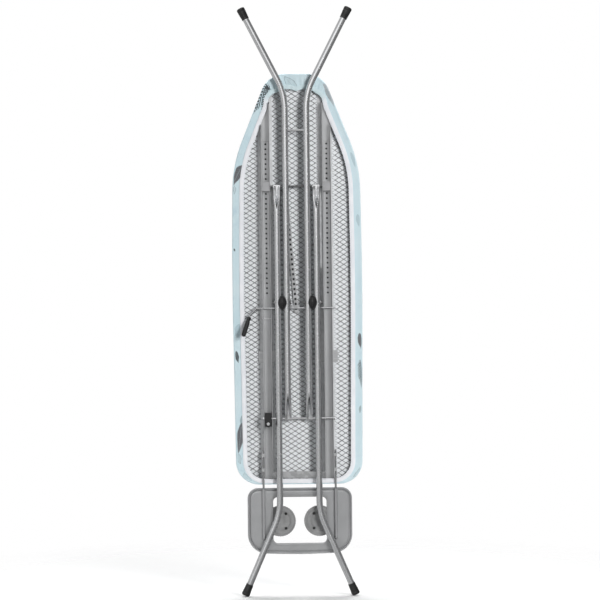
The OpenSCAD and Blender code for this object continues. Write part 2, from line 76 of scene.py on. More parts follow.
RAIL_SLOT = (989, 1239)                          # slot of the slide rod in the inner flange
# Heights beyond which the cover lies over a rail: at the tail, and at the nose on its two sides
RAIL_UNDER = {"tail": 353, "outer": 1422, "inner": 1487}
BANDS = ((-93, 22), (87.5, 22))                  # middle and half width of the deck's plain bands
DIAMOND_W, DIAMOND_H = 23.5, 15
STRAND_HALF = 0.88
TRAY = {"half_w": 157.5, "top": 325, "low": 129, "bow": 5}
WINDOW = {"half_w": 80.5, "low": 158, "top": 297}
GRIP = ((-145.0, 0.5, 844.0), (-164.0, -19.5, 785.0))
RACK_LEAN = math.radians(4.46)


def low(node, axis):
    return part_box(node)[0][axis] / MM


def high(node, axis):
    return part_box(node)[1][axis] / MM


def middle_of(node, axis):
    return (low(node, axis) + high(node, axis)) / 2


TUBE_Y, ROD_Y = middle_of("front_crossbar", 1), middle_of("hinge_rod", 1)
DECK_FRONT, DECK_BACK = low("mesh_panel", 1), high("mesh_panel", 1)
SURFACE_Y = high("cotton_cover", 1)
HEM_FRONT, FOLD_FRONT = low("cover_hem", 1), high("cover_hem", 1)
PAD_FRONT, PAD_BACK = low("foam_pad", 1), high("foam_pad", 1)
RIM_FRONT = low("panel_rim", 1)
# Cloth between the board's outline and the start of the folded flap
FLAP_FROM = SURFACE_Y - COVER_EDGE_R - FOLD_FRONT - TURN_R + TURN_R * math.pi / 2


# ---- outlines
def unit(v):
    v = np.asarray(v, float)
    return v / np.linalg.norm(v)


def left_of(v):
    return np.array([-v[1], v[0]])


def round_turn(sides):
    return 2 * math.pi * np.arange(sides) / sides


def bump_01(t):
    t = np.clip(t, 0, 1)
    return t * t * (3 - 2 * t)


def moved_corner(before, here, after, a, b):
    n1, n2 = left_of(unit(here - before)), left_of(unit(after - here))
    crossing = n1[0] * n2[1] - n1[1] * n2[0]
    return here + np.array([a * n2[1] - b * n1[1], b * n1[0] - a * n2[0]]) / crossing


def corner_arc(before, here, after, r, step):
    u, v = unit(here - before), unit(after - here)
    turn = math.acos(max(-1.0, min(1.0, float(u @ v))))
    side = left_of(u)
    centre = here - u * r * math.tan(turn / 2) + side * r
    n = max(1, math.ceil(turn / math.radians(step)))
    return [centre - r * (side * math.cos(turn * k / n) + left_of(side) * math.sin(turn * k / n))
            for k in range(n + 1)]


def rounded(corners, radii, insets, spacing=4.0, step=2.5, smallest=12):
    """Closed outline with rounded corners, each edge moved inwards by its own inset.
    Outlines of the same corners have the same number of points, whatever their insets."""
    corners = [np.array(c, float) for c in corners]
    n = len(corners)
    moved = [moved_corner(corners[i - 1], corners[i], corners[(i + 1) % n], insets[i - 1], insets[i])
             for i in range(n)]
    arcs = [corner_arc(moved[i - 1], moved[i], moved[(i + 1) % n],
                       max(radii[i] - min(insets[i - 1], insets[i]), smallest), step)
            for i in range(n)]
    points = []
    for i in range(n):
        start, end = arcs[i][-1], arcs[(i + 1) % n][0]
        parts = max(1, round(np.linalg.norm(corners[(i + 1) % n] - corners[i]) / spacing))
        points += arcs[i][:-1] + [start + (end - start) * k / parts for k in range(parts)]
    return np.array(points)


def board_outline(side, nose, tail, spacing=4.0):
    half = [(w, z) for w, z, _ in BOARD_HALF]
    corners = half + [(-w, z) for w, z in reversed(half)]
    radii = [r for _, _, r in BOARD_HALF]
    return rounded(corners, radii + radii[::-1],
                   [side, side, side, nose, side, side, side, tail], spacing)


def cover_opening(share, more=0.0):
    """The outline on the way from the board's edge (0) to the edge of the cover's opening (1),
    or moved inwards by some more."""
    return board_outline(*(FOLD[part] * share + more for part in ("side", "nose", "tail")))


def outward(outline):
    along = np.roll(outline, -1, 0) - np.roll(outline, 1, 0)
    along /= np.linalg.norm(along, axis=1)[:, None]
    return np.stack([along[:, 1], -along[:, 0]], 1)


def pushed(outline, distance):
    """The outline moved outwards by one distance, or by one for each point."""
    return outline + outward(outline) * np.broadcast_to(distance, len(outline))[:, None]


def inner_rings(outline, count):
    """Outlines that close from a rounded board outline onto its centre line."""
    centre = np.stack([np.zeros(len(outline)), np.clip(outline[:, 1], *MIDLINE)], 1)
    return [outline + (centre - outline) * k / count for k in range(1, count + 1)]


def at_depth(outline, y):
    """An outline in X-Z as 3-D points, at one depth or at one for each point."""
    return np.stack([outline[:, 0], np.broadcast_to(y, len(outline)), outline[:, 1]], 1)


# ---- mesh helpers
@contextmanager
def edited(mesh, result=None):
    """The mesh as a bmesh, written back at the end, or into another mesh."""
    bm = bmesh.new()
    bm.from_mesh(mesh)
    yield bm
    bm.to_mesh(result or mesh)
    bm.free()


def mesh_object(name, points, faces):
    """A mesh object from points in millimetres."""
    mesh = bpy.data.meshes.new(name)
    mesh.from_pydata([tuple(float(c) * MM for c in p) for p in points], [], [tuple(f) for f in faces])
    mesh.validate()
    with edited(mesh) as bm:
        bmesh.ops.recalc_face_normals(bm, faces=bm.faces)
    return linked(name, mesh)


def linked(name, data):
    obj = bpy.data.objects.new(name, data)
    bpy.context.scene.collection.objects.link(obj)
    return obj


def show(obj, body, key, slot, replaces=(), smooth_angle=35):
    """Give a piece its material, its smooth and sharp edges, its body and the CAD nodes it stands for."""
    obj.data.materials.append(MATERIALS[key])
    for p in obj.data.polygons:
        p.use_smooth = True
    with edited(obj.data) as bm:
        for e in bm.edges:
            e.smooth = not (e.is_manifold and e.calc_face_angle(0) > math.radians(smooth_angle))
    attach(obj, body)
    if replaces:
        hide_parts(*replaces)
    return obj


def make_piece(name, part, *shown):
    """A piece from (points, faces)."""
    return show(mesh_object(name, *part), *shown)


def ring_faces(rings, size, closed=False):
    """Quads between rows of points. Every row is closed and has size points."""
    faces = []
    for i in range(rings if closed else rings - 1):
        for k in range(size):
            j, m = (i + 1) % rings, (k + 1) % size
            faces.append((i * size + k, i * size + m, j * size + m, j * size + k))
    return faces


def swept(sections, closed=False):
    """Points and faces of a bar through sections, with flat ends or closed into a ring."""
    count, size = len(sections), len(sections[0])
    faces = ring_faces(count, size, closed)
    if not closed:
        faces += [tuple(range(size)), tuple((count - 1) * size + k for k in range(size))]
    return np.concatenate(sections), faces


def wire_sections(line, r, sides):
    """Round sections along a 3-D line, turned as little as possible from one to the next."""
    line = np.asarray(line, float)
    along = [unit(line[min(i + 1, len(line) - 1)] - line[max(i - 1, 0)]) for i in range(len(line))]
    side = unit(np.cross(along[0], [0.2, 0.9, 0.3]))
    a = round_turn(sides)
    rows = []
    for i, p in enumerate(line):
        side = unit(side - along[i] * (side @ along[i]))
        up = np.cross(along[i], side)
        rows.append(p + r * (np.cos(a)[:, None] * side + np.sin(a)[:, None] * up))
    return rows


def circle(r, h, a):
    """Points round Z at the angles a, with one radius or one for each point, at height h."""
    return np.stack([r * np.cos(a), r * np.sin(a), np.full(len(a), h)], 1)


def lathe(profile, sides, closed=False):
    """Points and faces of a profile of (radius, height) turned about Z."""
    return swept([circle(r, h, round_turn(sides)) for r, h in profile], closed)


def joined(parts):
    """Several (points, faces) as one."""
    points, faces, base = [], [], 0
    for p, f in parts:
        points.append(np.asarray(p, float))
        faces += [tuple(i + base for i in face) for face in f]
        base += len(p)
    return np.concatenate(points), faces


def placed(part, at, direction):
    """A part made about Z, turned so that Z points along direction, and moved to at."""
    turn = np.array(Vector((0, 0, 1)).rotation_difference(Vector(direction)).to_matrix())
    return np.asarray(part[0]) @ turn.T + np.array(at, float), part[1]


def sheet_between(front, back, faces):
    """A sheet with two surfaces of the same faces, and walls round every free edge."""
    n = len(front)
    uses = {}
    for f in faces:
        for a, b in zip(f, f[1:] + f[:1]):
            uses.setdefault(frozenset((a, b)), []).append((a, b))
    solid = [tuple(f) for f in faces] + [tuple(i + n for i in reversed(f)) for f in faces]
    solid += [(b, a, a + n, b + n) for (a, b), *more in uses.values() if not more]
    return np.concatenate([front, back]), solid


def ring_plate(outer, inner, y_front, y_back):
    ring = np.concatenate([outer, inner])
    return sheet_between(at_depth(ring, y_front), at_depth(ring, y_back), ring_faces(2, len(outer)))


def softened(node, width, key, slot):
    """The CAD node's own shape with a small round on its sharp edges."""
    mesh = bpy.data.meshes.new(f"{node}_eased")
    with edited(frame["nodes"][node].data, mesh) as bm:
        bmesh.ops.remove_doubles(bm, verts=bm.verts, dist=2e-6)
        bmesh.ops.dissolve_limit(bm, angle_limit=math.radians(1), verts=bm.verts, edges=bm.edges)
        sharp = [e for e in bm.edges if e.is_manifold and e.calc_face_angle(0) > math.radians(40)]
        bmesh.ops.bevel(bm, geom=sharp, offset=width * MM, segments=2, profile=0.6, affect="EDGES",
                        clamp_overlap=True)
    obj = linked(f"{node}_eased", mesh)
    obj.modifiers.new("even_faces", "WEIGHTED_NORMAL").keep_sharp = True
    return show(obj, BODY_OF[node], key, slot, [node])


def widen_each(obj, share):
    """Widen the left and the right half of a pair of parts, each about the middle of its two tubes."""
    middle = (LEGS["front"]["x"] + LEGS["rear"]["x"]) / 2 * MM
    for v in obj.data.vertices:
        side = math.copysign(middle, v.co.x)
        v.co.x = side + (v.co.x - side) * share


# ---- node helpers
class Tree:
    """Builds the nodes of one tree. Any input takes a number, a tuple or another node's output."""

    def __init__(self, tree):
        self.nodes, self.links = tree.nodes, tree.links

    def feed(self, socket, value):
        if isinstance(value, bpy.types.NodeSocket):
            self.links.new(value, socket)
        elif value is not None:
            socket.default_value = value

    def add(self, kind, *values, **settings):
        """A node. Values feed its inputs in order. A setting is an input if it starts with a
        capital letter, and otherwise an attribute of the node."""
        node = self.nodes.new("ShaderNode" + kind)
        for key, value in settings.items():
            if key[0].islower():
                setattr(node, key, value)
        for key, value in settings.items():
            if key[0].isupper():
                self.feed(node.inputs[key.replace("_", " ")], value)
        for socket, value in zip(node.inputs, values):
            self.feed(socket, value)
        return node

    def math(self, kind, a, b=None, clamp=False):
        return self.add("Math", a, b, operation=kind, use_clamp=clamp).outputs[0]

    def times(self, a, b, clamp=False):
        return self.math("MULTIPLY", a, b, clamp)

    def minus(self, a, b, clamp=False):
        return self.math("SUBTRACT", a, b, clamp)

    def vector_math(self, kind, a, b, c=None):
        return self.add("VectorMath", a, b, c, operation=kind).outputs[0]

    def ramp(self, value, low_value, high_value, from_low=0.3, from_high=0.7):
        return self.add("MapRange", value, from_low, from_high, low_value, high_value).outputs[0]


class Shader(Tree):
    """Builds one material round a Principled shader."""

    def __init__(self, name):
        self.material = bpy.data.materials.new(name)
        self.material.use_nodes = True
        super().__init__(self.material.node_tree)
        self.nodes.clear()
        self.bsdf = self.add("BsdfPrincipled")
        self.out = self.add("OutputMaterial", self.bsdf.outputs[0])
        self.place = self.add("TexCoord").outputs["Object"]

    def set(self, **values):
        for key, value in values.items():
            self.feed(self.bsdf.inputs[key.replace("_", " ")], value)

    def noise(self, scale, detail=3.0, rough=0.55, vector=None, stretch=None):
        vector = vector or self.place
        if stretch:
            vector = self.add("Mapping", vector, Scale=stretch).outputs[0]
        node = self.add("TexNoise", vector, Scale=scale, Detail=detail, Roughness=rough)
        return node.outputs["Fac"]

    def wave(self, scale, distortion=0.0, vector=None, direction="X"):
        return self.add("TexWave", vector or self.place, bands_direction=direction, Scale=scale,
                        Distortion=distortion).outputs["Fac"]

    def mix(self, factor, a, b):
        node = self.add("Mix", factor, data_type="RGBA")
        for socket, value in zip(node.inputs[6:8], (a, b)):
            self.feed(socket, value if isinstance(value, bpy.types.NodeSocket) else (*value, 1))
        return node.outputs[2]

    def bump(self, height, strength, distance):
        previous = self.bsdf.inputs["Normal"]
        under = previous.links[0].from_socket if previous.is_linked else None
        self.set(Normal=self.add("Bump", Strength=strength, Distance=distance, Height=height,
                                 Normal=under).outputs[0])


def grey(v, tint=(1, 1, 1)):
    return tuple(v * t for t in tint)


# ---- metal, plastic and rubber
def metal_material(name, dark, light, rough, metallic, grain=900, coat=0.0, spangle=False,
                   relief=0.02):
    """Metal or metallic paint: fine flake, cloudy tone and handling marks."""
    s = Shader(name)
    tint = (0.99, 1.0, 1.015)
    if spangle:
        crystals = s.add("TexVoronoi", s.place, Scale=95).outputs["Color"]
        cloud = s.add("SeparateColor", crystals).outputs[0]
    else:
        cloud = s.noise(14, 4)
    flake = s.noise(grain, 2)
    tone = s.mix(s.ramp(cloud, 0.0, 1.0), grey(dark, tint), grey(light, tint))
    marks = s.noise(60, 5, 0.65, stretch=(1, 1, 0.25))
    s.set(Base_Color=s.mix(s.ramp(flake, 0.0, 0.35), tone, grey(light * 0.86, tint)),
          Roughness=s.ramp(marks, rough * 0.8, rough * 1.3),
          Metallic=metallic, Coat_Weight=coat, Coat_Roughness=0.15)
    s.bump(flake, relief, 0.0002)
    s.bump(s.noise(30, 2), relief * 0.6, 0.001)
    return s.material


def plastic_material(name, dark, light, rough):
    """Moulded plastic: fine spark-eroded grain and slightly uneven gloss."""
    s = Shader(name)
    tint = (1, 1, 1.02)
    s.set(Base_Color=s.mix(s.ramp(s.noise(35, 4), 0.0, 1.0), grey(dark, tint), grey(light, tint)),
          Roughness=s.ramp(s.noise(120, 3), rough * 0.85, rough * 1.2), IOR=1.47)
    s.bump(s.noise(1400, 2), 0.18, 0.0002)
    return s.material


def rubber_material(name, dark, light, rough):
    """Moulded rubber with a little dust."""
    s = Shader(name)
    dust = s.ramp(s.noise(45, 5, 0.6), 0.0, 1.0, 0.45, 0.75)
    s.set(Base_Color=s.mix(dust, grey(dark), grey(light)),
          Roughness=s.ramp(s.noise(200, 3), rough * 0.85, rough * 1.15))
    s.bump(s.noise(700, 3), 0.25, 0.0003)
    return s.material


# ---- cloth
def leaf_group():
    """Node group: the ink of one leaf that lies from (0, 0) to (1, 0), half width 1 in Y.
    Fill is the tone of the blade, Rim draws its edge, Combs splits it into leaflets."""
    group = bpy.data.node_groups.new("leaf_ink", "ShaderNodeTree")
    group.interface.new_socket("Vector", in_out="INPUT", socket_type="NodeSocketVector")
    for name in ("Fill", "Rim", "Combs", "Veins"):
        group.interface.new_socket(name, in_out="INPUT", socket_type="NodeSocketFloat")
    group.interface.new_socket("Ink", in_out="OUTPUT", socket_type="NodeSocketFloat")
    t = Tree(group)
    vector, fill, rims, combs, veins = list(t.nodes.new("NodeGroupInput").outputs)[:5]
    times, minus = t.times, t.minus
    x, y, _ = t.add("SeparateXYZ", vector).outputs
    across = t.math("ABSOLUTE", y)
    inside = times(t.math("GREATER_THAN", x, 0.0), t.math("LESS_THAN", x, 1.0))
    clipped = t.math("MINIMUM", t.math("MAXIMUM", x, 0.0), 1.0)
    blade = t.math("SINE", times(t.math("POWER", clipped, 0.75), math.pi))
    margin = minus(blade, across)
    body = times(margin, 14.0, clamp=True)
    rim = minus(1.0, times(t.math("ABSOLUTE", margin), 9.0), clamp=True)
    spine = minus(1.0, times(across, 9.0), clamp=True)
    slant = minus(times(x, 11.0), times(across, 1.6))
    comb = t.math("ABSOLUTE", minus(t.math("FRACT", slant), 0.5))
    gap = t.math("ADD", times(across, 0.22), 0.10)
    cut = times(minus(comb, gap), 9.0, clamp=True)
    leaflets = minus(1.0, times(combs, minus(1.0, cut)), clamp=True)
    vein = times(t.math("LESS_THAN", comb, 0.09), veins)
    filled = times(times(body, fill), leaflets)
    lines = times(t.math("MAXIMUM", vein, spine), times(body, veins))
    pale = minus(filled, times(lines, 0.55), clamp=True)
    drawn = times(t.math("MAXIMUM", rim, times(lines, 0.8)), rims)
    ink = times(t.math("MAXIMUM", pale, drawn), inside)
    t.links.new(ink, t.nodes.new("NodeGroupOutput").inputs["Ink"])
    return group


def under_edge(x, z):
    """Where a point on the folded underside lies on the flat cloth."""
    outline = board_outline(0, 0, 0, 8.0)
    nearest = int(np.argmin(np.linalg.norm(outline - np.array([x, z]), axis=1)))
    out = outward(outline)[nearest]
    return outline[nearest] + out * (FLAP_FROM + np.linalg.norm(outline[nearest] - [x, z]))


INKS = {"dark": (0.025, 0.03, 0.035), "plum": (0.075, 0.065, 0.07), "taupe": (0.30, 0.275, 0.28),
        "slate": (0.15, 0.21, 0.22), "stone": (0.30, 0.29, 0.30), "mist": (0.33, 0.45, 0.50)}
LEAF_KINDS = {   # fill, rim, combs, veins
    "solid": (0.95, 0.4, 0.0, 0.5), "fern": (1.0, 0.3, 1.0, 0.3),
    "outline": (0.10, 0.9, 0.0, 0.6), "soft": (0.6, 0.3, 0.0, 0.3)}
# Leaves on the folded underside: kind, ink, base, tip, half width
UNDER_LEAVES = [
    ("fern", "dark", (-70, 1540), (-129, 1456), 19), ("fern", "dark", (-74, 1532), (-98, 1464), 10),
    ("solid", "dark", (-94, 1550), (-70, 1530), 6), ("solid", "dark", (-90, 1533), (-64, 1534), 6),
    ("solid", "dark", (-82, 1524), (-66, 1512), 5), ("solid", "dark", (-44, 1539), (-27, 1530), 4),
    ("outline", "slate", (2, 1528), (-32, 1567), 11), ("outline", "slate", (6, 1525), (27, 1541), 6),
    ("soft", "taupe", (82, 1543), (121, 1473), 13), ("outline", "slate", (88, 1530), (108, 1496), 6),
    ("solid", "plum", (-158, 1303), (-193, 1240), 14), ("outline", "dark", (-191, 1242), (-188, 1213), 6),
    ("solid", "dark", (-193, 1051), (-186, 1041), 3), ("soft", "mist", (-190, 990), (-178, 955), 9),
    ("soft", "mist", (-176, 822), (-190, 783), 9), ("solid", "dark", (-188, 739), (-181, 703), 6),
    ("soft", "slate", (-169, 548), (-174, 508), 6), ("solid", "plum", (-172, 524), (-184, 430), 11),
    ("outline", "dark", (-184, 432), (-178, 400), 6), ("solid", "plum", (186, 788), (192, 738), 8),
    ("fern", "dark", (187, 706), (193, 622), 10), ("soft", "slate", (190, 575), (184, 545), 5),
    ("outline", "slate", (163, 353), (182, 385), 8), ("outline", "slate", (-150, 352), (-168, 378), 6),
    ("soft", "mist", (184, 1150), (190, 1110), 7), ("soft", "mist", (170, 1330), (180, 1290), 6),
]
# Leaves that repeat over the ironing face, in one tile
TILE = (250, 330)
TILE_LEAVES = [
    ("fern", "dark", (40, 40), (82, 150), 26), ("fern", "dark", (44, 36), (16, 128), 20),
    ("solid", "plum", (150, 60), (196, 136), 20), ("outline", "mist", (196, 200), (140, 262), 22),
    ("outline", "dark", (60, 210), (104, 290), 18), ("soft", "stone", (176, 292), (222, 240), 15),
    ("solid", "dark", (118, 186), (134, 150), 8), ("soft", "mist", (20, 190), (40, 250), 14),
    ("solid", "dark", (222, 40), (236, 92), 7),
]


def cotton_material():
    """Woven cotton, washed in pale blue and printed with leaves on both of its faces."""
    s = Shader("printed_cotton")
    flat = s.add("Attribute", attribute_name="cloth").outputs["Vector"]
    group = leaf_group()

    def leaf(vector, kind, base, tip, half_w):
        run = np.array(tip, float) - np.array(base, float)
        mapping = s.add("Mapping", vector, (base[0] * MM, base[1] * MM, 0),
                        (0, 0, math.atan2(run[1], run[0])),
                        (np.linalg.norm(run) * MM, half_w * MM, 1), vector_type="TEXTURE")
        return s.add("Group", mapping.outputs[0], *LEAF_KINDS[kind], node_tree=group).outputs[0]

    wobble = s.add("TexNoise", flat, Scale=60).outputs["Color"]
    centred = s.vector_math("SUBTRACT", wobble, (0.5, 0.5, 0.5))
    drawn = s.vector_math("MULTIPLY_ADD", centred, (0.004, 0.004, 0), flat)
    tiled = s.vector_math("WRAP", drawn, (TILE[0] * MM, TILE[1] * MM, 1), (0, 0, -1))
    under = s.add("SeparateXYZ", flat).outputs["Z"]    # 1 on the folded underside, 0 on the face
    top = s.minus(1.0, under)
    cloud = s.ramp(s.noise(9, 3, vector=flat), 0.0, 1.0)
    color = s.mix(cloud, (0.635, 0.76, 0.80), (0.555, 0.71, 0.765))
    wash = s.ramp(s.noise(16, 4, 0.6, vector=flat), 0.0, 0.6, 0.56, 0.72)
    color = s.mix(wash, color, (0.46, 0.61, 0.69))
    leaves = [(under, ink, drawn, kind, under_edge(*base), under_edge(*tip), half_w)
              for kind, ink, base, tip, half_w in UNDER_LEAVES]
    leaves += [(top, ink, tiled, kind, *shape) for kind, ink, *shape in TILE_LEAVES]
    for face, ink, *drawing in leaves:
        color = s.mix(s.times(leaf(*drawing), face), color, INKS[ink])
    warp, weft = s.wave(420, 0.4, flat, "X"), s.wave(420, 0.4, flat, "Y")
    weave = s.times(s.math("ADD", warp, weft), 0.5)
    s.set(Base_Color=s.mix(s.ramp(weave, 0.0, 0.10, 0.2, 0.9), color, (0.86, 0.93, 0.95)),
          Roughness=s.ramp(s.noise(300, 2, vector=flat), 0.72, 0.9),
          Sheen_Weight=0.25, Sheen_Roughness=0.5, Specular_IOR_Level=0.3)
    s.bump(weave, 0.25, 0.0002)
    s.bump(s.noise(45, 4, 0.6, vector=flat), 0.30, 0.0014)
    return s.material


def binding_material():
    """White woven tape with two rows of stitches and a twill; tinted at the nose."""
    s = Shader("white_binding")
    tape = s.add("Attribute", attribute_name="tape").outputs["Vector"]
    along, across, nose = s.add("SeparateXYZ", tape).outputs    # metres, 0 to 1, share of the nose
    twill = s.math("FRACT", s.math("ADD", s.times(along, 700.0), s.times(across, 11.0)))
    row, other_row = [s.math("LESS_THAN", s.math("ABSOLUTE", s.minus(across, place)), 0.03)
                      for place in (0.2, 0.8)]
    rows = s.math("MAXIMUM", row, other_row)
    stitch_on = s.math("LESS_THAN", s.math("FRACT", s.times(along, 330.0)), 0.62)
    stitch = s.times(rows, stitch_on)
    color = s.mix(s.ramp(s.noise(22, 4), 0.0, 1.0), (0.90, 0.90, 0.925), (0.80, 0.815, 0.85))
    color = s.mix(nose, color, (0.63, 0.76, 0.79))
    s.set(Base_Color=s.mix(s.times(stitch, 0.5), color, (0.62, 0.66, 0.70)),
          Roughness=s.ramp(s.noise(400, 2), 0.8, 0.95), Sheen_Weight=0.3, Specular_IOR_Level=0.25)
    s.bump(twill, 0.15, 0.0002)
    s.bump(rows, 0.4, -0.0006)
    s.bump(s.noise(70, 3), 0.25, 0.001)
    return s.material


def felt_material():
    """Needled felt: matted fibres and small lumps."""
    s = Shader("pad_felt")
    fibres = s.noise(700, 5, 0.75, stretch=(1, 1, 0.35))
    lumps = s.noise(90, 4, 0.6)
    s.set(Base_Color=s.mix(s.ramp(fibres, 0.0, 1.0), (0.76, 0.785, 0.81), (0.95, 0.96, 0.97)),
          Roughness=s.ramp(lumps, 0.9, 1.0), Sheen_Weight=0.3, Specular_IOR_Level=0.15)
    s.bump(fibres, 0.5, 0.0006)
    s.bump(lumps, 0.4, 0.0012)
    return s.material


def elastic_material():
    """Ribbed elastic tape."""
    s = Shader("elastic_band")
    ribs = s.wave(500)
    s.set(Base_Color=s.mix(ribs, (0.85, 0.85, 0.86), (0.62, 0.62, 0.64)),
          Roughness=s.ramp(s.noise(200, 2), 0.8, 0.95))
    s.bump(ribs, 0.3, 0.0003)
    return s.material


MATERIALS = {
    "deck": metal_material("expanded_steel", 0.18, 0.32, 0.45, 0.6, spangle=True),
    "band": metal_material("deck_band", 0.64, 0.74, 0.42, 0.15, spangle=True),
    "zinc": metal_material("zinc_steel", 0.38, 0.52, 0.36, 0.7, spangle=True),
    "tube": metal_material("silver_powder_coat", 0.62, 0.68, 0.23, 0.9, coat=0.2, relief=0.006),
    "rail": metal_material("rail_paint", 0.47, 0.53, 0.38, 0.45, coat=0.1),
    "rod": metal_material("bright_rod", 0.42, 0.52, 0.22, 1.0, grain=1500),
    # painted reflection: a darker copy of the rod steel for the slide rod, pivot bolts and nuts, standing
    # in for the dark surroundings they mirror
    "dark_reflection_steel": metal_material("steel_painted_dark_reflection", 0.13, 0.20, 0.28, 0.9, grain=1500),
    "fastener": metal_material("bright_zinc", 0.62, 0.76, 0.24, 1.0, grain=1500),
    "tray": metal_material("tray_paint", 0.36, 0.42, 0.42, 0.45, coat=0.12),
    # painted shade: near-black for the wells and the strip that stand in for shade in holes and slots
    "hole": metal_material("painted_hole_shade", 0.01, 0.02, 0.8, 0.0),
    "black": plastic_material("black_plastic", 0.010, 0.018, 0.38),
    "shoe": plastic_material("grey_acetal", 0.35, 0.42, 0.42),
    "rubber": rubber_material("black_rubber", 0.010, 0.028, 0.42),
    "silicone": rubber_material("grey_silicone", 0.24, 0.30, 0.62),
    "felt": felt_material(),
    "cotton": cotton_material(),
    "binding": binding_material(),
    "elastic": elastic_material(),
}


# ---- cover, hem and pad
def smooth_noise(x, y, z=0.0):
    return noise.noise(Vector((x, y, z)))


def distance_along(outline):
    steps = np.linalg.norm(np.roll(outline, -1, 0) - outline, axis=1)
    return np.concatenate([[0], np.cumsum(steps)[:-1]])


def scallops(outline):
    """How far the opening's edge pulls back between the gathers at the nose."""
    depth, pitch, shift = 6.5, 58, 3
    wave = np.abs(np.sin(np.pi * (outline[:, 0] - shift) / pitch))
    return depth * wave * bump_01((outline[:, 1] - NOSE_Z + 105) / 30)


def gathers(outline):
    """Height of the puckers along the fold, largest at the nose and the tail."""
    s = distance_along(outline)
    wander = np.array([smooth_noise(a * 0.021, 3.1) for a in s])
    wave = np.sin(s / 2.3 + 5 * wander) + 0.6 * np.sin(s / 4.1 + 9 * wander + 1.7)
    z = outline[:, 1]
    nose, tail = bump_01((z - NOSE_Z + 175) / 90), bump_01((TAIL_Z + 95 - z) / 70)
    return wave * (0.16 + 0.75 * nose + 0.45 * tail)


def cover_rings():
    """The board's outline, and (outline, depth, distance of the cloth beyond the edge) from the
    top's edge to the hem."""
    outer = board_outline(0, 0, 0)
    pucker = gathers(outer)
    side_y, turn_y = SURFACE_Y - COVER_EDGE_R, FOLD_FRONT + TURN_R
    rings = []
    for k in range(7):                               # soft shoulder of the top
        a = math.pi / 2 * k / 6
        inset = COVER_EDGE_R * (1 - math.sin(a)) + 0.25
        rings.append((pushed(outer, -inset), SURFACE_Y - COVER_EDGE_R * (1 - math.cos(a)),
                      COVER_EDGE_R * (a - math.pi / 2)))
    for share in (0.35, 0.7):                        # side
        y = side_y + (turn_y - side_y) * share
        rings.append((pushed(outer, -0.3 - 0.12 * pucker * share), y, side_y - y))
    for k in range(5):                               # turn under the rim
        a = math.pi / 2 * k / 4
        inset = 0.4 + TURN_R * (1 - math.cos(a)) + 0.15 * pucker * (1 - k / 4)
        rings.append((pushed(outer, -inset), FOLD_FRONT + TURN_R * (1 - math.sin(a)),
                      side_y - turn_y + TURN_R * a))
    back = scallops(cover_opening(1.0))
    for k in range(1, 11):                           # folded flap, puckered towards its edge
        share = 0.1 + 0.86 * k / 10
        ring = pushed(cover_opening(share), back * share ** 2)
        depth = FOLD_FRONT + 0.75 + np.clip(0.75 * pucker * (k / 10) ** 0.7, -0.7, 1.4)
        rings.append((ring, depth, FLAP_FROM + np.linalg.norm(ring - outer, axis=1)))
    return outer, rings


def add_vectors(obj, name, rows):
    attribute = obj.data.attributes.new(name, "FLOAT_VECTOR", "POINT")
    attribute.data.foreach_set("vector", np.asarray(rows, np.float32).ravel())


def weld_close(obj):
    with edited(obj.data) as bm:
        bmesh.ops.remove_doubles(bm, verts=bm.verts, dist=1e-5)
        bmesh.ops.dissolve_degenerate(bm, edges=bm.edges, dist=1e-6)
        bmesh.ops.recalc_face_normals(bm, faces=bm.faces)


def make_cover():
    """The cover as one cloth, with its flat size and area. Its attribute says where every point
    lies on the flat cloth, and whether it is on the folded underside."""
    outer, rings = cover_rings()
    points, cloth = [], []

    def add_row(ring, y, flat, under):
        points.append(at_depth(ring, y))
        cloth.append(np.column_stack([flat * MM, np.broadcast_to(under, len(ring))]))

    for ring in reversed(inner_rings(rings[0][0], 26)):
        wrinkle = np.array([smooth_noise(x * 0.012, z * 0.012) + 0.5 *
                            smooth_noise(x * 0.04, z * 0.015, 4.0) for x, z in ring])
        add_row(ring, SURFACE_Y - 0.15 - 0.35 * np.abs(wrinkle), ring, 0.0)
    for i, (ring, y, beyond) in enumerate(rings):
        add_row(ring, y, pushed(outer, beyond) if i else ring, bump_01((beyond - 2) / 6))
    obj = mesh_object("cover_cotton", np.concatenate(points), ring_faces(len(points), len(outer)))
    add_vectors(obj, "cloth", np.concatenate(cloth))
    weld_close(obj)
    show(obj, "board", "cotton", "printed_cotton", ["cotton_cover"], 80)
    x, z = MM * cover_opening(-1.0, -COVER_SIDE).T
    area = abs(float(np.sum(x * np.roll(z, -1) - z * np.roll(x, -1)))) / 2
    return obj, (float(np.ptp(x)), float(np.ptp(z))), area


def tape_ring(name, near, far, front, back, crown, segments):
    """A flat tape round the opening between two distances from its edge."""
    edge = cover_opening(1.0)
    pull, pucker, s = scallops(edge), gathers(edge), distance_along(edge)
    nose = bump_01((edge[:, 1] - NOSE_Z + 97) / 30)
    profile = [(near + (far - near) * k / segments, front - crown * math.sin(math.pi * k / segments))
               for k in range(segments + 1)]
    rows, tape = [], []
    for offset, y in profile + [(far, back), (near, back)]:
        lift = np.clip(0.32 * pucker, -0.5, 0.5) if y < back else 0.0
        rows.append(at_depth(pushed(edge, pull + offset), y + lift))
        across = np.full(len(edge), (offset - near) / (far - near))
        tape.append(np.stack([s * MM, across, nose], 1))
    obj = mesh_object(name, *swept(rows, closed=True))
    add_vectors(obj, "tape", np.concatenate(tape))
    return obj


def make_hem():
    """White binding and the elastic inside it."""
    hem = tape_ring("cover_binding", -0.3, HEM_W, HEM_FRONT + 0.7, FOLD_FRONT + 0.5, 0.6, 6)
    show(hem, "board", "binding", "white_binding", ["cover_hem"], 50)
    band = tape_ring("hem_elastic", 4.4, 8.6, HEM_FRONT + 0.9, FOLD_FRONT - 0.2, 0.0, 3)
    show(band, "board", "elastic", "elastic", ["cover_elastic"], 50)
    return hem, band


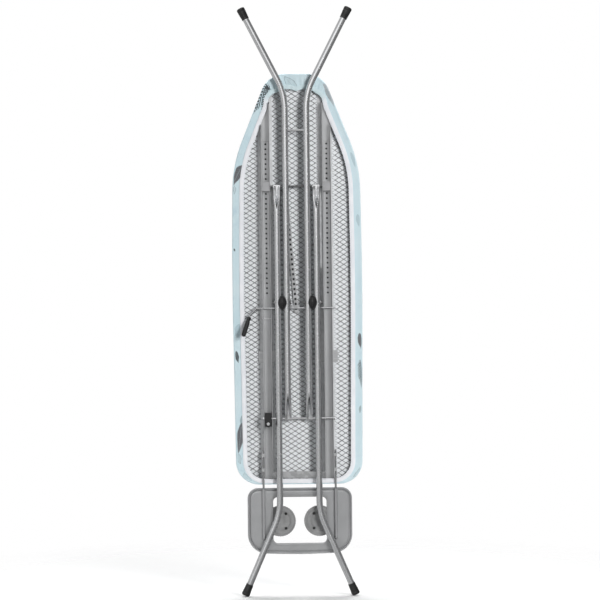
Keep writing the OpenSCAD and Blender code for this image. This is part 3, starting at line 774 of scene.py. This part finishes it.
def make_pad():
    """Felt pad: soft edges, and it swells a little into the deck's diamonds."""
    edge = board_outline(2.2, 2.2, 2.2)
    front, middle = PAD_FRONT + 0.1, (PAD_FRONT + PAD_BACK) / 2
    flat_edge = pushed(edge, -5.0)
    rings = []
    for ring in reversed(inner_rings(flat_edge, 46)):
        x, z = ring.T
        a, b = x / DIAMOND_W + z / DIAMOND_H, x / DIAMOND_W - z / DIAMOND_H
        swell = 0.75 * (np.cos(np.pi * a) ** 2 * np.cos(np.pi * b) ** 2)
        for centre, half in BANDS:
            swell *= 1 - bump_01((half + 3 - np.abs(x - centre)) / 3)
        rings.append(at_depth(ring, front - swell))
    for a in np.linspace(-math.pi / 2, math.pi / 2, 7):
        ring = pushed(edge, 4.0 * math.cos(a) - 5.0)
        rings.append(at_depth(ring, middle + (middle - front) * math.sin(a)))
    rings += [at_depth(ring, PAD_BACK - 0.1) for ring in inner_rings(flat_edge, 12)]
    obj = mesh_object("felt_pad", np.concatenate(rings), ring_faces(len(rings), len(edge)))
    weld_close(obj)
    return show(obj, "board", "felt", "foam", ["foam_pad"], 80)


# ---- deck
def inside_outline(p, outline):
    """Is a 2-D point inside a convex outline that runs counter-clockwise?"""
    step = np.roll(outline, -1, 0) - outline
    return bool((step[:, 0] * (p[1] - outline[:, 1]) - step[:, 1] * (p[0] - outline[:, 0]) > 0).all())


def deck_diamonds():
    """Expanded steel: every diamond is a ring of four strands round a blunt opening."""
    edge = board_outline(4, 4, 4, 12.0)
    half_w, half_h = DIAMOND_W / 2, DIAMOND_H / 2
    to_strand = half_w * half_h / math.hypot(half_w, half_h)
    k = 1 - STRAND_HALF / to_strand
    point, blunt, rise = k * half_h, k * half_w * 0.90, k * half_h * 0.10
    opening = [(0, point, 0.35), (blunt, rise, 0.3), (blunt, -rise, -0.3),
               (0, -point, -0.35), (-blunt, -rise, -0.3), (-blunt, rise, 0.3)]
    index, points, tilt, faces = {}, [], [], []

    def add_point(x, z, lean):
        points.append((x, z))
        tilt.append(lean)
        return len(points) - 1

    def corner(i, j):
        if (i, j) not in index:
            index[i, j] = add_point(i * half_w, j * half_h, 0.0)
        return index[i, j]

    last_i = int(200 / half_w)
    for i in range(-last_i, last_i + 1):
        for j in range(int((TAIL_Z - 5) / half_h), int((NOSE_Z + 5) / half_h)):
            x, z = i * half_w, j * half_h
            if (i + j) % 2 or any(abs(x - middle) < half for middle, half in BANDS):
                continue
            ends = [(x + half_w, z), (x - half_w, z), (x, z + half_h), (x, z - half_h)]
            if not all(inside_outline(c, edge) for c in ends):
                continue
            top, right = corner(i, j + 1), corner(i + 1, j)
            bottom, left = corner(i, j - 1), corner(i - 1, j)
            t, r1, r2, b, l1, l2 = [add_point(x + dx, z + dz, lean) for dx, dz, lean in opening]
            faces += [(top, right, r1, t), (right, r2, r1), (right, bottom, b, r2),
                      (bottom, left, l1, b), (left, l2, l1), (left, top, t, l2)]
    return np.array(points, float), faces, np.array(tilt)


def make_deck():
    """Expanded-steel panel: diamonds, a plain border and two plain bands."""
    flat, faces, tilt = deck_diamonds()
    strands = sheet_between(at_depth(flat, DECK_FRONT + 0.1 + 0.5 * tilt),
                            at_depth(flat, DECK_BACK - 0.3 + 0.5 * tilt), faces)
    make_piece("deck_mesh", strands, "board", "deck", "galvanised_deck", ["mesh_panel"], 30)
    z, x = zip(*sorted((z, x) for x, z in board_outline(4, 4, 4, 6.0) if x > 0))
    heights = np.arange(1300, NOSE_Z, 1.0)
    half_widths = np.interp(heights, z, x)
    parts = [ring_plate(board_outline(3.2, 3.2, 3.2), board_outline(12, 12, 12),
                        DECK_FRONT, DECK_BACK)]
    sides = [(0, 1, 3, 2), (4, 6, 7, 5), (0, 4, 5, 1), (2, 3, 7, 6), (0, 2, 6, 4), (1, 5, 7, 3)]
    for centre, half in BANDS:
        points = [(x, y, z) for x in (centre - half, centre + half)
                  for y in (DECK_FRONT - 0.05, DECK_BACK)
                  for z in (TAIL_Z + 10, heights[half_widths > abs(x)].max())]
        parts.append((points, sides))
    make_piece("deck_bands", joined(parts), "board", "band", "galvanised_deck", ["mesh_panel"], 30)


# ---- rails
def rail_columns():
    """(x, y) and outward normal of the rail's bent sheet, from the inner flange to the outer."""
    slot, half = 4.0, RAIL_HALF - RAIL_SHEET / 2
    mid = RAIL_BEND - RAIL_SHEET / 2
    reach, top = RAIL_HALF - RAIL_BEND, DECK_FRONT - 0.02 - RAIL_BEND
    flange = [low("rail_right", 1), ROD_Y - slot, ROD_Y + slot, (ROD_Y + slot + top) / 2]
    bend = [math.pi / 2 * k / 5 for k in range(6)]
    columns = [(-half, y, -1.0, 0.0) for y in flange]
    columns += [(-reach - mid * math.cos(a), top + mid * math.sin(a), -math.cos(a), math.sin(a))
                for a in bend]
    columns += [(x, top + mid, 0.0, 1.0) for x in np.linspace(-reach, reach, 6)[1:-1]]
    columns += [(reach + mid * math.sin(a), top + mid * math.cos(a), math.sin(a), math.cos(a))
                for a in bend]
    columns += [(half, y, 1.0, 0.0) for y in reversed(flange)]
    return columns


def rail_grid():
    """Rows of (x, y, normal x, normal y, z) over one rail's sheet, and its faces."""
    columns = rail_columns()
    size, split = len(columns), 5                 # split: faces along each side of a hole
    web_from, web_to = 9, 14                      # columns at the two ends of the web
    pitch, r = RAIL_HOLES["pitch"], RAIL_HOLES["r"]
    first = RAIL_HOLES["low"] - pitch / 2
    last = first + pitch * RAIL_HOLES["count"]
    rows = [low("rail_right", 2), RAIL_UNDER["tail"] - 0.5, RAIL_UNDER["tail"] + 0.5]
    rows += [*np.linspace(370, first, 40)[:-1]]
    hole_row = len(rows)
    rows += [*np.linspace(first, last, RAIL_HOLES["count"] * split + 1)]
    rows += [*np.arange(last + 6, high("rail_right", 2), 6.0), high("rail_right", 2)]
    grid = [(*column, z) for z in rows for column in columns]
    faces = []
    for i, middle in enumerate((a + b) / 2 for a, b in zip(rows, rows[1:])):
        slotted, holed = RAIL_SLOT[0] < middle < RAIL_SLOT[1], first < middle < last
        for k in range(size - 1):
            if not (slotted and k == 1) and not (holed and web_from <= k < web_to):
                at = i * size + k
                faces.append((at, at + 1, at + size + 1, at + size))
    for h in range(RAIL_HOLES["count"]):
        start = (hole_row + h * split) * size
        loop = [start + web_from + k for k in range(split)]
        loop += [start + k * size + web_to for k in range(split)]
        loop += [start + split * size + web_to - k for k in range(split)]
        loop += [start + (split - k) * size + web_from for k in range(split)]
        base, count, z = len(grid), len(loop), RAIL_HOLES["low"] + h * pitch
        for k in range(count):
            a = -3 * math.pi / 4 + 2 * math.pi * k / count
            m = (k + 1) % count
            grid.append((r * math.cos(a), columns[web_from][1], 0.0, 1.0, z + r * math.sin(a)))
            faces.append((loop[k], loop[m], base + m, base + k))
    return np.array(grid), faces


def make_rails():
    """U-section rails in bent sheet: a row of holes in the web and a slot in the inner flange.
    Where the cover folds over them, they are pressed flat."""
    grid, faces = rail_grid()
    across, y, normal_x, normal_y, z = grid.T
    under_cover = ((z < RAIL_UNDER["tail"]) | ((across > 5) & (z > RAIL_UNDER["outer"]))
                   | ((across < -5) & (z > RAIL_UNDER["inner"])))
    y[under_cover] = np.maximum(y[under_cover], RIM_FRONT + 0.04 * (y[under_cover] + 4))
    half = RAIL_SHEET / 2
    for side, word in SIDES:
        x = side * (RAIL_X + across)
        faces_of_sheet = [np.stack([x + side * normal_x * half * k, y + normal_y * half * k, z], 1)
                          for k in (1, -1)]
        obj = mesh_object(f"rail_{word}_bent", *sheet_between(*faces_of_sheet, faces))
        with edited(obj.data) as bm:
            loose = [v for v in bm.verts if not v.link_faces]
            bmesh.ops.delete(bm, geom=loose, context="VERTS")
        show(obj, "board", "rail", "grey_rail", [f"rail_{word}"], 50)


def make_shades():
    """Painted shade: dark wells inside the holes of the rails, and a dark strip behind the leaning rack's
    slots, put where there is only shade.
    """
    r = RAIL_HOLES["r"] - 0.1
    wells = [placed(lathe([(r, 0), (r, 0.9)], 20),
                    (side * RAIL_X, DECK_FRONT - 0.1, RAIL_HOLES["low"] + RAIL_HOLES["pitch"] * k),
                    (0, -1, 0))
             for side, _ in SIDES for k in range(RAIL_HOLES["count"])]
    make_piece("rail_holes_painted_shade", joined(wells), "board", "hole", "galvanised_deck")
    # painted shade: dark strip behind the rack's slots
    along = np.array([math.sin(RACK_LEAN), -math.cos(RACK_LEAN)])
    across = np.array([math.cos(RACK_LEAN), math.sin(RACK_LEAN)])
    head = np.array([low("height_rack", 0) + 6.5, high("slide_rod", 2) - 3.5])
    front, back = 17.0, 17.4
    rows = []
    for d, half in ((19, 2.5), (21, 4.0), (372, 4.0), (374, 2.5)):
        a, b = head + along * d - across * half, head + along * d + across * half
        rows.append(np.array([(a[0], front, a[1]), (b[0], front, b[1]),
                              (b[0], back, b[1]), (a[0], back, a[1])]))
    make_piece("rack_slots_painted_shade", swept(rows), "height_slider", "hole", "zinc_steel")


# ---- legs
def leg_path(leg):
    """(x, height, lean, distance from the eye) from the eye to the foot, with the foot up."""
    x, r, turn = leg["x"], leg["bend_r"], math.radians(leg["turn"])
    bend_x, bend_z = r * (1 - math.cos(turn)), r * math.sin(turn)
    tail = (leg["foot"][0] - x - bend_x) / math.sin(turn)
    length = abs(leg["foot"][1] - leg["eye"])
    bend_from = length - bend_z - tail * math.cos(turn)
    straight = [*np.linspace(-1.5, PRESSED_L + 6, 60), *np.linspace(PRESSED_L + 12, bend_from - 8, 24)]
    path = [(x, d, 0.0, d) for d in straight]
    path += [(x + r * (1 - math.cos(a)), bend_from + r * math.sin(a), a, length)
             for a in np.linspace(0, turn, 16)]
    path += [(x + bend_x + t * math.sin(turn), bend_from + bend_z + t * math.cos(turn), turn, length)
             for t in np.linspace(8, tail - 5, 8)]
    return path


def tube_section(d):
    """Round tube; near its eye it is pressed: flat back, and a pointed dish between two rims."""
    press = float(1 - bump_01((d - 24) / (PRESSED_L - 18)))
    a = round_turn(56)
    u, v = TUBE_R * np.cos(a), TUBE_R * np.sin(a)
    rel = np.abs(np.cos(a)) ** 0.75
    wide = 10.3 * np.sign(np.cos(a)) * rel
    u = u + (wide - u) * press
    back = TUBE_R - 0.9 * rel ** 6
    rim = -0.9 + 5.2 * np.clip((rel - 0.86) / 0.14, 0, 1) ** 2
    rim = 4.6 + (rim - 4.6) * float(bump_01(d / 16))
    dish_w = 8.3 * (1 - min(max(d, 0) / 67, 1.0) ** 2.3)
    dish = np.clip(1 - (u / max(dish_w, 0.2)) ** 2, 0, 1) * (dish_w > 0.2)
    front = rim + (7.2 - rim) * dish
    behind = np.sin(a) > 1e-6
    shaped = np.where(behind, back, front)
    share = np.where(behind, press, np.maximum(press, dish))
    return u, v + (shaped - v) * share


def leg_part(leg, side, up):
    """One leg's tube and the rolled eye at its end. up is 1 where the foot is up, or else -1."""
    sections = []
    for x, d, lean, run in leg_path(leg):
        u, v = tube_section(run)
        sections.append(np.stack([side * (x + u * math.cos(lean)), TUBE_Y + v,
                                  leg["eye"] + up * d - up * u * math.sin(lean)], 1))
    ring = [(6.5, -10.2), (6.5, 10.2), (6.2, 10.5), (3.9, 10.5), (3.6, 10.2), (3.6, -10.2),
            (3.9, -10.5), (6.2, -10.5)]
    eye = placed(lathe(ring, 40, closed=True), (side * leg["x"], ROD_Y, leg["eye"]), (1, 0, 0))
    return joined([swept(sections), eye])


def foot_profile():
    """Rubber cap: tapered sleeve with a lip, two shallow rings and a domed, grooved sole."""
    outer = [(9.7, -FOOT_L), (10.6, -FOOT_L), (11.0, -FOOT_L + 0.6), (11.0, -FOOT_L + 3.0),
             (10.8, -FOOT_L + 3.6), (11.2, -FOOT_L + 8), (11.9, -18), (12.3, -12), (12.0, -11.4),
             (12.0, -10.2), (12.4, -9.6), (12.45, -6)]
    outer += [(7.5 + 4.95 * math.cos(a), -5 + 4.95 * math.sin(a))
              for a in np.linspace(0.2, math.pi / 2 - 0.12, 7)]
    outer += [(6.6, -0.1), (6.3, -0.7), (5.3, -0.7), (5.0, -0.1), (3.4, -0.05), (3.1, -0.7),
              (2.1, -0.7), (1.8, -0.05), (0.2, 0.0)]
    inner = [(0.2, -5.0), (9.6, -5.0), (9.6, -FOOT_L + 0.4)]
    return outer + inner


def make_legs():
    """Tubes, then rubber caps, for the two front and the two rear legs."""
    legs = [(name, leg, 1 if name == "front" else -1, side, word)
            for name, leg in LEGS.items() for side, word in SIDES]
    for name, leg, up, side, word in legs:
        make_piece(f"{name}_tube_{word}", leg_part(leg, side, up), f"{name}_legs", "tube",
                   "silver_tube", [f"{name}_leg_{word}"], 42)
    for name, leg, up, side, word in legs:
        turn = math.radians(leg["turn"])
        cap = placed(lathe(foot_profile(), 44, closed=True),
                     (side * leg["foot"][0], TUBE_Y, leg["foot"][1]),
                     (side * math.sin(turn), 0, up * math.cos(turn)))
        make_piece(f"{name}_cap_{word}", cap, f"{name}_legs", "rubber", "black_rubber",
                   [f"{name}_foot_{word}"], 50)


def make_welds():
    """Weld beads where the crossbar meets the front tubes."""
    z, ring_r, beads = middle_of("front_crossbar", 2), 3.9, 14
    turns = [math.pi * t / 6 for t in range(7)]
    drop = lathe([(1.3 * math.sin(t + 0.001), 1.1 * math.cos(t)) for t in turns], 10)
    parts = []
    for side, _ in SIDES:
        for a in round_turn(beads):
            y, up = ring_r * math.cos(a), ring_r * math.sin(a)
            reach = LEGS["front"]["x"] - math.sqrt(TUBE_R ** 2 - y ** 2) - 0.2
            parts.append(placed(drop, (side * reach, TUBE_Y + y, z + up),
                                (-side * 0.6, math.cos(a), math.sin(a))))
    make_piece("crossbar_welds", joined(parts), "front_legs", "tube", "silver_tube")


# ---- iron rest
def tray_outline(inset):
    w, t, l = TRAY["half_w"], TRAY["top"], TRAY["low"]
    return rounded([(w, l), (w, t), (-w, t), (-w, l), (0, l - TRAY["bow"])], [58, 32, 32, 58, 1400],
                   [inset] * 5, 3.0, 3.0)


def window_outline(inset):
    w, t, l = WINDOW["half_w"], WINDOW["top"], WINDOW["low"]
    return rounded([(w, l), (w, t), (-w, t), (-w, l)], [14] * 4, [inset] * 4, 3.0, 6.0, 3)


def by_angle(outline, centre, angles):
    """Points of an outline at the given angles about a centre."""
    a = np.mod(np.arctan2(outline[:, 1] - centre[1], outline[:, 0] - centre[0]), 2 * math.pi)
    order = np.argsort(a)
    ring, at = outline[order], a[order]
    ring = np.concatenate([ring[-1:], ring, ring[:1]])
    at = np.concatenate([at[-1:] - 2 * math.pi, at, at[:1] + 2 * math.pi])
    return np.stack([np.interp(angles, at, ring[:, k]) for k in (0, 1)], 1)


def make_tray():
    """Pressed tray: rolled rim, step inside it, a window with a turned edge and two ridges."""
    sheet = 1.1
    plate = low("iron_rest_tray", 1) + 2.6
    rim = [(0.0, 3.4), (0.2, 0.8), (1.2, -0.5), (2.6, -0.7), (4.2, -0.2), (5.4, 1.6), (6.4, 3.2),
           (7.4, 3.4), (8.4, 2.6), (9.2, 0.8), (10.5, 0.1), (14, 0.0)]
    window = [(-6.5, 0.0), (-3.0, 0.0), (-1.4, 0.2), (-0.4, 1.0), (0.0, 2.4), (0.0, 3.4)]
    parts = []
    for outline, profile in ((tray_outline, rim), (window_outline, window)):
        front = [at_depth(outline(inset), plate + y) for inset, y in profile]
        back = [row + np.array([0, sheet, 0]) for row in reversed(front)]
        parts.append(swept(front + back, closed=True))
    outer, inner = tray_outline(13.5), window_outline(-6.0)
    angles = np.linspace(0, 2 * math.pi, 241)[:-1]
    parts.append(ring_plate(*(by_angle(outline, inner.mean(0), angles) for outline in (outer, inner)),
                            plate, plate + sheet))
    wire_x = high("iron_rest_wires", 0) - 3.0
    for side, _ in SIDES:
        parts.append(ridge(side * wire_x, middle_of("iron_rest_wires", 1), plate,
                           low("iron_rest_wires", 2) - 2, TRAY["top"] - 3))
    make_piece("tray_pressing", joined(parts), "board", "tray", "grey_tray", ["iron_rest_tray"], 40)


def ridge(x, wire_y, plate, z_low, z_high):
    """Half-round ridge pressed over a wire, closing in a round nose at its lower end."""
    r, foot = 4.2, 5.8
    sections = [(z_low - r * 1.4 * (1 - t), max(math.sqrt(max(0.0, 1 - (1 - t) ** 2)), 0.02))
                for t in np.linspace(0, 1, 7)]
    sections += [(z, 1.0) for z in np.linspace(z_low + 8, z_high, 16)]
    rows = []
    for z, grow in sections:
        arc = [(x + r * grow * math.cos(a),
                min(plate + 0.3, wire_y + r * math.sin(a) * grow + (plate - wire_y) * (1 - grow)), z)
               for a in np.linspace(math.pi, 2 * math.pi, 13)]
        rows.append(np.array([(x - grow * foot, plate + 0.4, z), *arc,
                              (x + grow * foot, plate + 0.4, z)]))
    return swept(rows)


def make_iron_pads():
    """Heat-proof discs with a scalloped rim and shallow rings."""
    r0 = (high("iron_pad_right", 0) - low("iron_pad_right", 0)) / 2
    y1, y2 = low("iron_pad_right", 1), high("iron_pad_right", 1)
    a = round_turn(240)
    scallop = 1 - 0.020 * np.abs(np.sin(a * 20)) ** 0.8
    profile = [(0.01, y1 + 0.5), (0.30, y1 + 0.5), (0.31, y1 + 0.1), (0.55, y1), (0.56, y1 + 0.5),
               (0.62, y1 + 0.5), (0.63, y1), (0.84, y1), (0.85, y1 + 0.5), (0.89, y1 + 0.5),
               (0.90, y1), (0.975, y1), (1.0, y1 + 0.7), (1.0, y2 - 0.7), (0.975, y2), (0.01, y2)]
    for _, word in SIDES:
        node = f"iron_pad_{word}"
        middle = np.array([middle_of(node, 0), 0.0, middle_of(node, 2)])
        rows = []
        for share, y in profile:
            ring = circle(r0 * share * (scallop if share > 0.9 else 1.0), 0.0, a)
            rows.append(at_depth(ring, y) + middle)
        make_piece(f"heat_pad_{word}", swept(rows), "board", "silicone", "grey_silicone", [node], 50)


# ---- height lever and spring
def make_grip():
    """Slim grip with a stepped collar, two long flutes and a rounded end."""
    start, end = np.array(GRIP)
    length = np.linalg.norm(end - start)
    profile = [(2.85, 4.0), (5.6, 4.0), (6.3, 4.8), (6.3, 12), (5.5, 13), (5.4, 15), (6.2, 17),
               (6.9, 24), (6.9, length - 8), (6.4, length - 3), (4.6, length + 0.5),
               (1.5, length + 1.8), (0.2, length + 2)]
    a = round_turn(48)
    flute = 0.16 * (np.abs(np.cos(a)) > 0.93)
    rows = [circle(r * (1 - flute * (22 < h < length - 6) * (r > 3)), h, a) for r, h in profile]
    make_piece("lever_handle", placed(swept(rows), start, end - start), "release_lever", "black",
               "black_plastic", ["lever_grip"], 40)


def make_spring():
    """Torsion spring: a coil on the release rod and a leg hooked across the rail."""
    x1, x2 = low("release_spring", 0) + 0.9, high("release_spring", 0)
    y_rod, z_rod = middle_of("release_clip", 1), middle_of("release_clip", 2)
    wire, coil_r, turns, pitch, steps = 0.9, 4.15, 6, 2.05, 28
    line = [(x1 + pitch * k / steps, y_rod - coil_r * math.cos(2 * math.pi * k / steps),
             z_rod - coil_r * math.sin(2 * math.pi * k / steps)) for k in range(turns * steps + 1)]
    knee = np.array([-107.0, low("release_spring", 1) + wire, low("release_spring", 2) + wire])
    above, beyond = knee + 4 * unit(np.array(line[-1]) - knee), knee + np.array([4.0, 0, 0])
    line += [(1 - t) ** 2 * above + 2 * t * (1 - t) * knee + t * t * beyond
             for t in np.linspace(0, 1, 9)]
    line.append((x2 - 0.3, knee[1], knee[2]))
    make_piece("lever_spring", swept(wire_sections(line, wire, 10)), "board", "fastener", "fastener",
               ["release_spring"], 60)


# ---- assemble
SOFTENED = [   # CAD nodes shown with eased edges: node, round, material, slot
    ("rail_end_plates", 0.4, "rail", "zinc_steel"), ("rail_saddles", 0.4, "rail", "zinc_steel"),
    ("tail_cross_channel", 0.4, "zinc", "zinc_steel"), ("wire_clips", 0.5, "zinc", "zinc_steel"),
    ("hinge_rod_caps", 0.4, "fastener", "fastener"), ("iron_pad_plugs", 0.3, "rubber", "black_rubber"),
    ("transport_lock_base", 0.7, "black", "black_plastic"),
    ("transport_lock_rivet", 0.4, "fastener", "fastener"),
    ("transport_lock_arm", 0.8, "black", "black_plastic"),
    ("front_pivot_saddles", 0.4, "black", "black_plastic"),
    ("rear_pivot_saddles", 0.4, "black", "black_plastic"), ("pivot_bolts", 0.4, "dark_reflection_steel", "fastener"),
    ("pivot_washers", 0.15, "fastener", "fastener"), ("pivot_nuts", 0.4, "dark_reflection_steel", "fastener"),
    ("slider_shoe_left", 1.2, "shoe", "grey_plastic"), ("slider_shoe_right", 1.2, "shoe", "grey_plastic"),
    ("height_rack", 0.35, "zinc", "zinc_steel"), ("release_catch", 0.3, "zinc", "zinc_steel"),
    ("release_clip", 0.3, "fastener", "fastener"), ("hinge_rod", 0.5, "rod", "bright_rod"),
    ("slide_rod", 0.5, "dark_reflection_steel", "bright_rod"), ("panel_rim", 0.3, "zinc", "zinc_steel"),
]


def make_object():
    cover, flat, area = make_cover()
    hem, band = make_hem()
    pad = make_pad()
    make_deck()
    make_rails()
    make_shades()
    make_legs()
    make_welds()
    make_tray()
    make_iron_pads()
    make_grip()
    make_spring()
    for node, width, key, slot in SOFTENED:
        obj = softened(node, width, key, slot)
        if node in ("front_pivot_saddles", "rear_pivot_saddles"):
            widen_each(obj, 1.25)
    for node in ("front_crossbar", "iron_rest_wires", "release_rod"):
        obj = frame["nodes"][node]
        obj.data.materials.clear()
        obj.data.materials.append(MATERIALS["rod"])


# ---- floor, light and camera
def make_floor():
    """Pale round floor that fades out towards its edge."""
    bpy.ops.mesh.primitive_circle_add(vertices=96, radius=2.6, fill_type="NGON")
    floor = bpy.context.object
    floor.name = "floor"
    s = Shader("floor_white")
    s.set(Base_Color=s.mix(s.ramp(s.noise(3, 2), 0, 1), (0.92, 0.92, 0.92), (0.94, 0.94, 0.94)),
          Roughness=0.8, Specular_IOR_Level=0.1)
    distance = s.add("VectorMath", s.place, operation="LENGTH").outputs["Value"]
    mixed = s.add("MixShader", s.ramp(distance, 0.0, 1.0, 0.35, 1.5), s.bsdf.outputs[0],
                  s.add("BsdfTransparent").outputs[0])
    s.feed(s.out.inputs[0], mixed.outputs[0])
    floor.data.materials.append(s.material)
    floor.visible_glossy = False


def area_light(name, at, target, size, power):
    light = bpy.data.lights.new(name, "AREA")
    light.shape = "RECTANGLE"
    light.size, light.size_y = size
    light.energy = power
    obj = linked(name, light)
    obj.location = at
    obj.rotation_mode = "QUATERNION"
    obj.rotation_quaternion = (Vector(target) - Vector(at)).to_track_quat("-Z", "Y")
    obj.visible_glossy = False


def make_light():
    """Key softbox on the right, weak fill on the left, a top light for the floor, and a room that
    metal mirrors as a bright box in front, dimmer below the horizon."""
    world = bpy.data.worlds.new("studio")
    bpy.context.scene.world = world
    world.use_nodes = True
    t = Tree(world.node_tree)
    t.nodes.clear()
    x, y, z = t.add("SeparateXYZ", t.add("TexCoord").outputs["Generated"]).outputs
    turn = t.math("ARCTAN2", x, t.times(y, -1.0))    # 0 in front of the board, left negative
    box = t.ramp(t.math("ABSOLUTE", t.math("ADD", turn, 0.14)), 1.0, 0.0, 0.32, 0.62)
    bright = t.ramp(z, 0.50, 1.9, -0.05, 0.06)
    sides = t.ramp(turn, 0.72, 0.20, -1.3, 1.1)
    glow = t.times(box, t.minus(bright, sides))
    shine = t.add("Background", None, t.math("ADD", sides, glow)).outputs[0]
    room = t.add("Background", (0.95, 0.98, 1.0, 1), 0.14).outputs[0]
    seen = t.add("Background", (1, 1, 1, 1)).outputs[0]
    ray = t.add("LightPath").outputs
    lit = t.add("MixShader", ray["Is Glossy Ray"], room, shine).outputs[0]
    t.add("OutputWorld", t.add("MixShader", ray["Is Camera Ray"], lit, seen).outputs[0])
    area_light("key", (2.0, -3.0, 1.7), (0, 0, 0.9), (1.0, 2.0), 117)
    area_light("fill", (-3.0, -0.6, 1.1), (0, 0, 0.9), (0.6, 2.0), 34)
    area_light("top", (0, 0.7, 3.6), (0, 0.3, 0), (1.6, 1.6), 105)


def make_camera():
    """A long lens straight in front of the underside, rolled a little."""
    data = bpy.data.cameras.new("camera")
    data.lens = 120
    data.sensor_width = 36
    data.clip_end = 40
    seen_height = 1.806                      # metres across the picture at the object
    back = seen_height / 2 / (data.sensor_width / 2 / data.lens)
    camera = linked("camera", data)
    camera.location = (0.0075, -back + TUBE_Y * MM, 0.8912)
    camera.rotation_euler = (math.pi / 2, math.radians(0.65), 0)
    bpy.context.scene.camera = camera


make_object()
make_floor()
make_light()
make_camera()
scene = bpy.context.scene
scene.view_settings.view_transform = "Standard"
scene.view_settings.look = "None"
